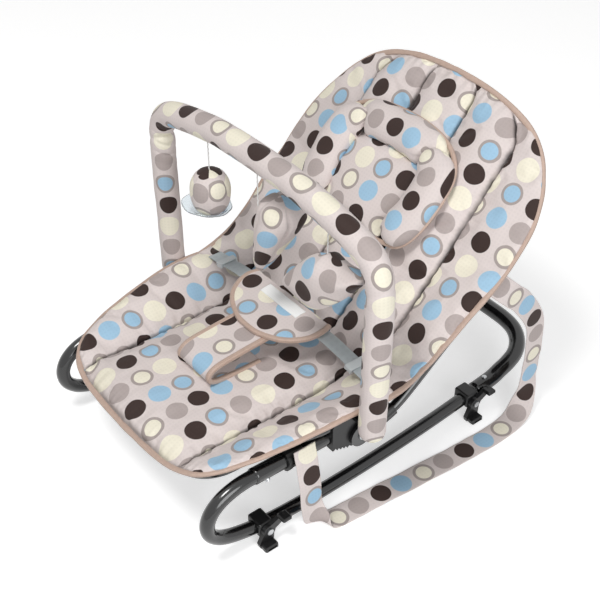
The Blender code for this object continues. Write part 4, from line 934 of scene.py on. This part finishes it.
def plush(name, body, profile, x, turn, prints, seed, lean=(0, 0), depth=0.05):
    """A sewn plush body of gores: its profile turned round the upright line, drawn in at each gore's seam,
    and slid sideways by a lean that grows from its bottom to its shoulder. prints is the place of each gore's
    foot on the cloth, and a seam's column comes twice, so that each gore is its own flat piece."""
    line = even(spline(profile, 12), 80)
    line[:, 0] = np.maximum(line[:, 0], 0.0004)
    gores = len(prints)
    columns = 84 // gores + 1
    share = np.tile(np.linspace(-0.5, 0.5, columns), gores)[None]
    number = np.repeat(np.arange(gores), columns)
    t = turn + TURN * (number + 0.5 + share) / gores
    seams = 1 - depth * np.exp(-(np.cos(math.pi * share) / 0.14) ** 2)
    r = line[:, :1] * seams * (1 + 0.018 * crumple(line[:, 1:2], 0.03 * np.cos(t), seed, 0.06, 0.02))
    low, shoulder = line[:, 1].min(), line[np.argmax(line[:, 0]), 1]
    shift = np.array(lean) * np.clip((line[:, 1:2] - low) / (shoulder - low), 0, 1)
    points = stacked(x + shift[:, :1] + r * np.cos(t), BAR_Y + shift[:, 1:] + r * np.sin(t), line[:, 1:2])
    uv = stacked(line[:, :1] * share * TURN / gores, run_of(line)[:, None]) + np.array(prints)[number]
    obj = skin(name, points, np.concatenate([uv, uv[:, :1]], axis=1), "polka", wrap=(False, True), caps=True)
    weld(obj)
    return dress(obj, body, body, fill=0.8)


def dish():
    """Clear dish under the ball: a shell turned round the upright line, its wavy rim wider on one side."""
    x, _, middle = TOYS["ball"]
    line = metres((0.4, -40.2), (16, -36), (28.5, -24), (34.5, -21), (35.2, -19.6), (34.4, -19.2),
                  (28, -22.2), (15.6, -34.3), (0.4, -38.5))
    line = even(spline(line + (0, middle), 8), 90)
    columns = 120
    t = turns(columns)[None]
    rim = ease(line[:, :1], 0.018, 0.034)
    toward = np.cos(t - DISH_TURN)
    wave = 0.015 * np.cos(8 * t) + 0.28 * np.maximum(toward, 0) ** 1.5 - 0.1 * np.maximum(-toward, 0)
    r = line[:, :1] * (1 + rim * wave)
    points = stacked(x + r * np.cos(t), BAR_Y + r * np.sin(t), line[:, 1:2] + 0.004 * rim * (toward - 0.8))
    uv = stacked(run_of(line)[:, None], np.linspace(0, 0.2, columns + 1)[None])
    piece = skin("toy_dish_clear", points, uv, "clear", wrap=(False, True), caps=True)
    dress(piece, "toy_ball", "toy_ball_dish")


def kite():
    """Four-pointed cushion: two stuffed faces inside one outline, gathered towards their shared seam."""
    x, _, middle = TOYS["kite"]
    outline = metres((0, 48), (36, 44), (74, 46), (55, 16), (25, -20), (-12, -52), (-50, -54), (-88, -44),
                     (-64, -8), (-34, 26))
    loop = even(spline(np.vstack([outline, outline[:1]]), 16), 161)
    ring = np.linspace(0, 1, 33)[:, None]
    heart = np.array((-0.004, 0.0))
    flat = heart + (loop[None] - heart) * (1 - (1 - ring[..., None]) ** 1.2)
    folds = 1 + 0.05 * crumple(flat[..., 0], flat[..., 1], 83, 0.09, 0.03)
    turn = np.arctan2(flat[..., 1], flat[..., 0])
    gathers = 0.07 * ease(ring, 0.7, 0.92) * np.maximum(np.sin(17 * turn + 2 * np.sin(3 * turn)), 0)
    stuffed = 0.03 * np.clip(1 - ring ** 2.6, 0, 1) ** 0.6 * (folds - gathers)
    wide, high = x + flat[..., 0], middle + flat[..., 1]
    front, back = (stacked(wide, BAR_Y + face * stuffed, high) for face in (-1, 1))
    # The print follows the stuffed surface: its distance from the heart is the one along the cloth.
    lay = heart + unit(flat - heart) * run_of(front)[..., None]
    uv = np.concatenate([lay, lay[-2::-1] + (0.02, 0.013)]) + KITE_SHIFT
    piece = skin("toy_kite_plush", np.concatenate([front, back[-2::-1]]), uv, "polka")
    weld(piece)
    dress(piece, "toy_kite", "toy_kite", fill=0.8)


def toys():
    """Ball in its clear dish, leaning fig and four-pointed kite, and the three twisted strings."""
    x, _, middle = TOYS["ball"]
    ball = metres((1, -37.5), (15.5, -33.5), (26.2, -22), (31, -2), (29.3, 17), (21.5, 30.5), (11.5, 36.8),
                  (1, 38.5))
    plush("toy_ball_plush", "toy_ball", ball + (0, middle), x, math.radians(322), BALL_PRINTS, 81)
    dish()
    x, _, middle = TOYS["fig"]
    fig = metres((1, -113), (7, -109.5), (13.5, -99), (19.2, -85), (25.2, -66), (31, -47), (35.2, -30),
                 (36.6, -16), (34, -3), (25.5, 7), (13, 12.5), (1, 14))
    plush("toy_fig_plush", "toy_fig", fig + (0, middle), x, math.radians(340), FIG_PRINTS, 82, FIG_LEAN, 0.16)
    kite()
    for name, low in CORDS.items():
        x, top, _ = TOYS[name]
        z = np.linspace(low, top + 0.001, 60)
        twist = stacked(x + 0.0003 * np.sin(z * 900), BAR_Y + 0.0003 * np.cos(z * 900), z)
        string = swept(f"toy_{name}_cord", twist, "string", round_section(8), 0.0009, 0.0009, ALONG)
        dress(string, f"toy_{name}", f"toy_{name}_string")


# Tubes

def rocker_line(*y):
    """Centre line of the right rocker rail at these places: a wide arc, flattest under the seat."""
    y = metres(*y)
    return stacked(RAIL_X, y, 0.0135 + (y + 0.09) ** 2 / 4.68)


def arm_line(*y):
    """Centre line of the right arm at these places, a straight slope."""
    y = metres(*y)
    return stacked(RAIL_X, y, 0.127 - (y + 0.24) * 0.031)


def pipe(name, points, radius, node, body):
    """Bent steel tube: a circle carried along a Catmull-Rom curve, its two ends closed."""
    path = spline(points, 12)
    path = even(path, int(run_of(path)[-1] / 0.004) + 2)
    across = ACROSS if np.ptp(path[:, 0]) < 0.01 else np.array((0, 0.35, 1.0))
    dress(swept(name, path, "paint", round_section(36), radius, radius, across), body, node)


def tubes():
    """Rails, rear tube, arms, back tube and the wire in the seat's hem, along the source's own lines."""
    hairpin = stacked(RAIL_X, HAIRPIN[:, 0], HAIRPIN[:, 1])
    rail = np.vstack([arm_line(-199, -220, -242), hairpin, rocker_line(-90, -20, 50, 120, 190, 220, 245)])
    for label, side in SIDES:
        pipe(f"base_rail_{label}_tube", rail * (side, 1, 1), RAIL_R, f"base_rail_{label}", "base")
        arm = arm_line(-240, -190, -140, -82) * (side, 1, 1)
        pipe(f"seat_arm_{label}_tube", arm, ARM_R, f"seat_arm_{label}", "base")
    half = metres((0, 338, 75), (100, 338, 74.5), (140, 337, 73), (165, 331, 70), (184, 318, 64.5),
                  (196, 300, 58), (200, 280, 51), (200, 262, 44))
    half = np.vstack([half, rocker_line(245, 225, 205)])
    pipe("rear_cross_tube_fine", mirrored(half), REAR_R, "rear_cross_tube", "base")
    foot = metres((219.7, -18, 123), (219.7, 6, 131), (220.5, 36, 153))
    x, up = metres((222.5, -6), (226.5, 40), (232, 95), (235, 145), (234.5, 190), (228, 230), (213, 265),
                   (189, 294), (157, 316), (120, 330), (60, 339), (0, 342)).T
    half = np.vstack([foot, back_point(x, up, -0.0175)])
    pipe("back_frame_tube_fine", mirrored(half[::-1]), 0.008, "back_frame_tube", "backrest")
    half = metres((0, -307, 109), (60, -306, 110), (110, -302, 112), (143, -290, 118), (165, -268, 127),
                  (178, -238, 139), (188, -200, 147.8), (192.5, -182, 149), (200, -158, 149.2),
                  (206, -121, 146.58), (206, -103, 146.04), (206, -85, 145.5))
    pipe("seat_frame_tube_fine", mirrored(half), 0.007, "seat_frame_tube", "base")


tubes()
for piece in (seat_cover(), back_cover(), edge_piping()):
    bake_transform(piece)
toy_bar_sleeve()
pillow()
harness()
carry_straps()
toys()

# Rigid nodes keep their shape and get the paint, plastic or plating of their slot.
SLOT_FINISH = {"black_steel": "paint", "black_plastic": "plastic", "zinc": "zinc", "clear_plastic": "buckle"}
for entry in frame["record"]["subparts"]:
    look = SLOT_FINISH.get(entry["material_slot"])
    if look:
        mesh = frame["nodes"][entry["node"]].data
        mesh.materials.clear()
        mesh.materials.append(FINISH[look])


# Floor, light and camera

SKY_LIGHT, FLOOR_GLOW, FLOOR_REACH = 0.26, 0.54, 30
TARGET = Vector((0.0025, -0.0099, 0.1976))
EYE = Vector((1.0758, -0.863, 1.2851))


def seen_rays(tree):
    """1 for the rays of the camera, of a mirror and of glass, 0 for those that carry light."""
    rays = add(tree, "ShaderNodeLightPath").outputs
    either = calc(tree, "MAXIMUM", rays["Is Camera Ray"], rays["Is Glossy Ray"])
    return calc(tree, "MAXIMUM", either, rays["Is Transmission Ray"])


def floor():
    """Pale floor, brighter to a camera, a mirror and glass, so that it ends white and keeps the shadow."""
    mesh = bpy.data.meshes.new("studio_floor")
    corners = np.array(((-1, -1, 0), (1, -1, 0), (1, 1, 0), (-1, 1, 0))) * FLOOR_REACH
    mesh.from_pydata(corners.tolist(), [], [(0, 1, 2, 3)])
    material, tree, shader = new_finish("floor_paint")
    glow = calc(tree, "MULTIPLY", seen_rays(tree), FLOOR_GLOW)
    feed(tree, shader, {"Base Color": srgb(236, 236, 236), "Roughness": 0.9, "Emission Color": (1, 1, 1, 1),
                        "Emission Strength": glow})
    mesh.materials.append(material)
    linked("studio_floor", mesh)


def aimed(name, data, place):
    """A lamp or a camera at this place, turned towards the rocker."""
    obj = linked(name, data)
    obj.location = place
    obj.rotation_euler = (TARGET - Vector(place)).to_track_quat("-Z", "Y").to_euler()
    return obj


def lamp(name, place, size, power, colour):
    """A round soft lamp."""
    light = bpy.data.lights.new(name, "AREA")
    light.shape = "DISK"
    light.size = size
    light.energy = power
    light.color = colour
    aimed(name, light, place)


floor()
lamp("key_light", (0.15, -1.1, 2.8), 0.9, 40, (1.0, 0.995, 0.985))
lamp("fill_light", (2.2, -0.6, 1.1), 1.6, 27, (0.98, 0.99, 1.0))
world = bpy.data.worlds.new("studio")
bpy.context.scene.world = world
world.use_nodes = True
tree = world.node_tree
glow = calc(tree, "MULTIPLY_ADD", seen_rays(tree), 1 - SKY_LIGHT, SKY_LIGHT)
feed(tree, tree.nodes["Background"], {"Strength": glow, "Color": (1, 1, 1, 1)})

camera = bpy.data.cameras.new("camera")
camera.lens = 67.55
camera.sensor_width = 36
bpy.context.scene.camera = aimed("camera", camera, EYE)
bpy.context.scene.view_settings.view_transform = "Standard"
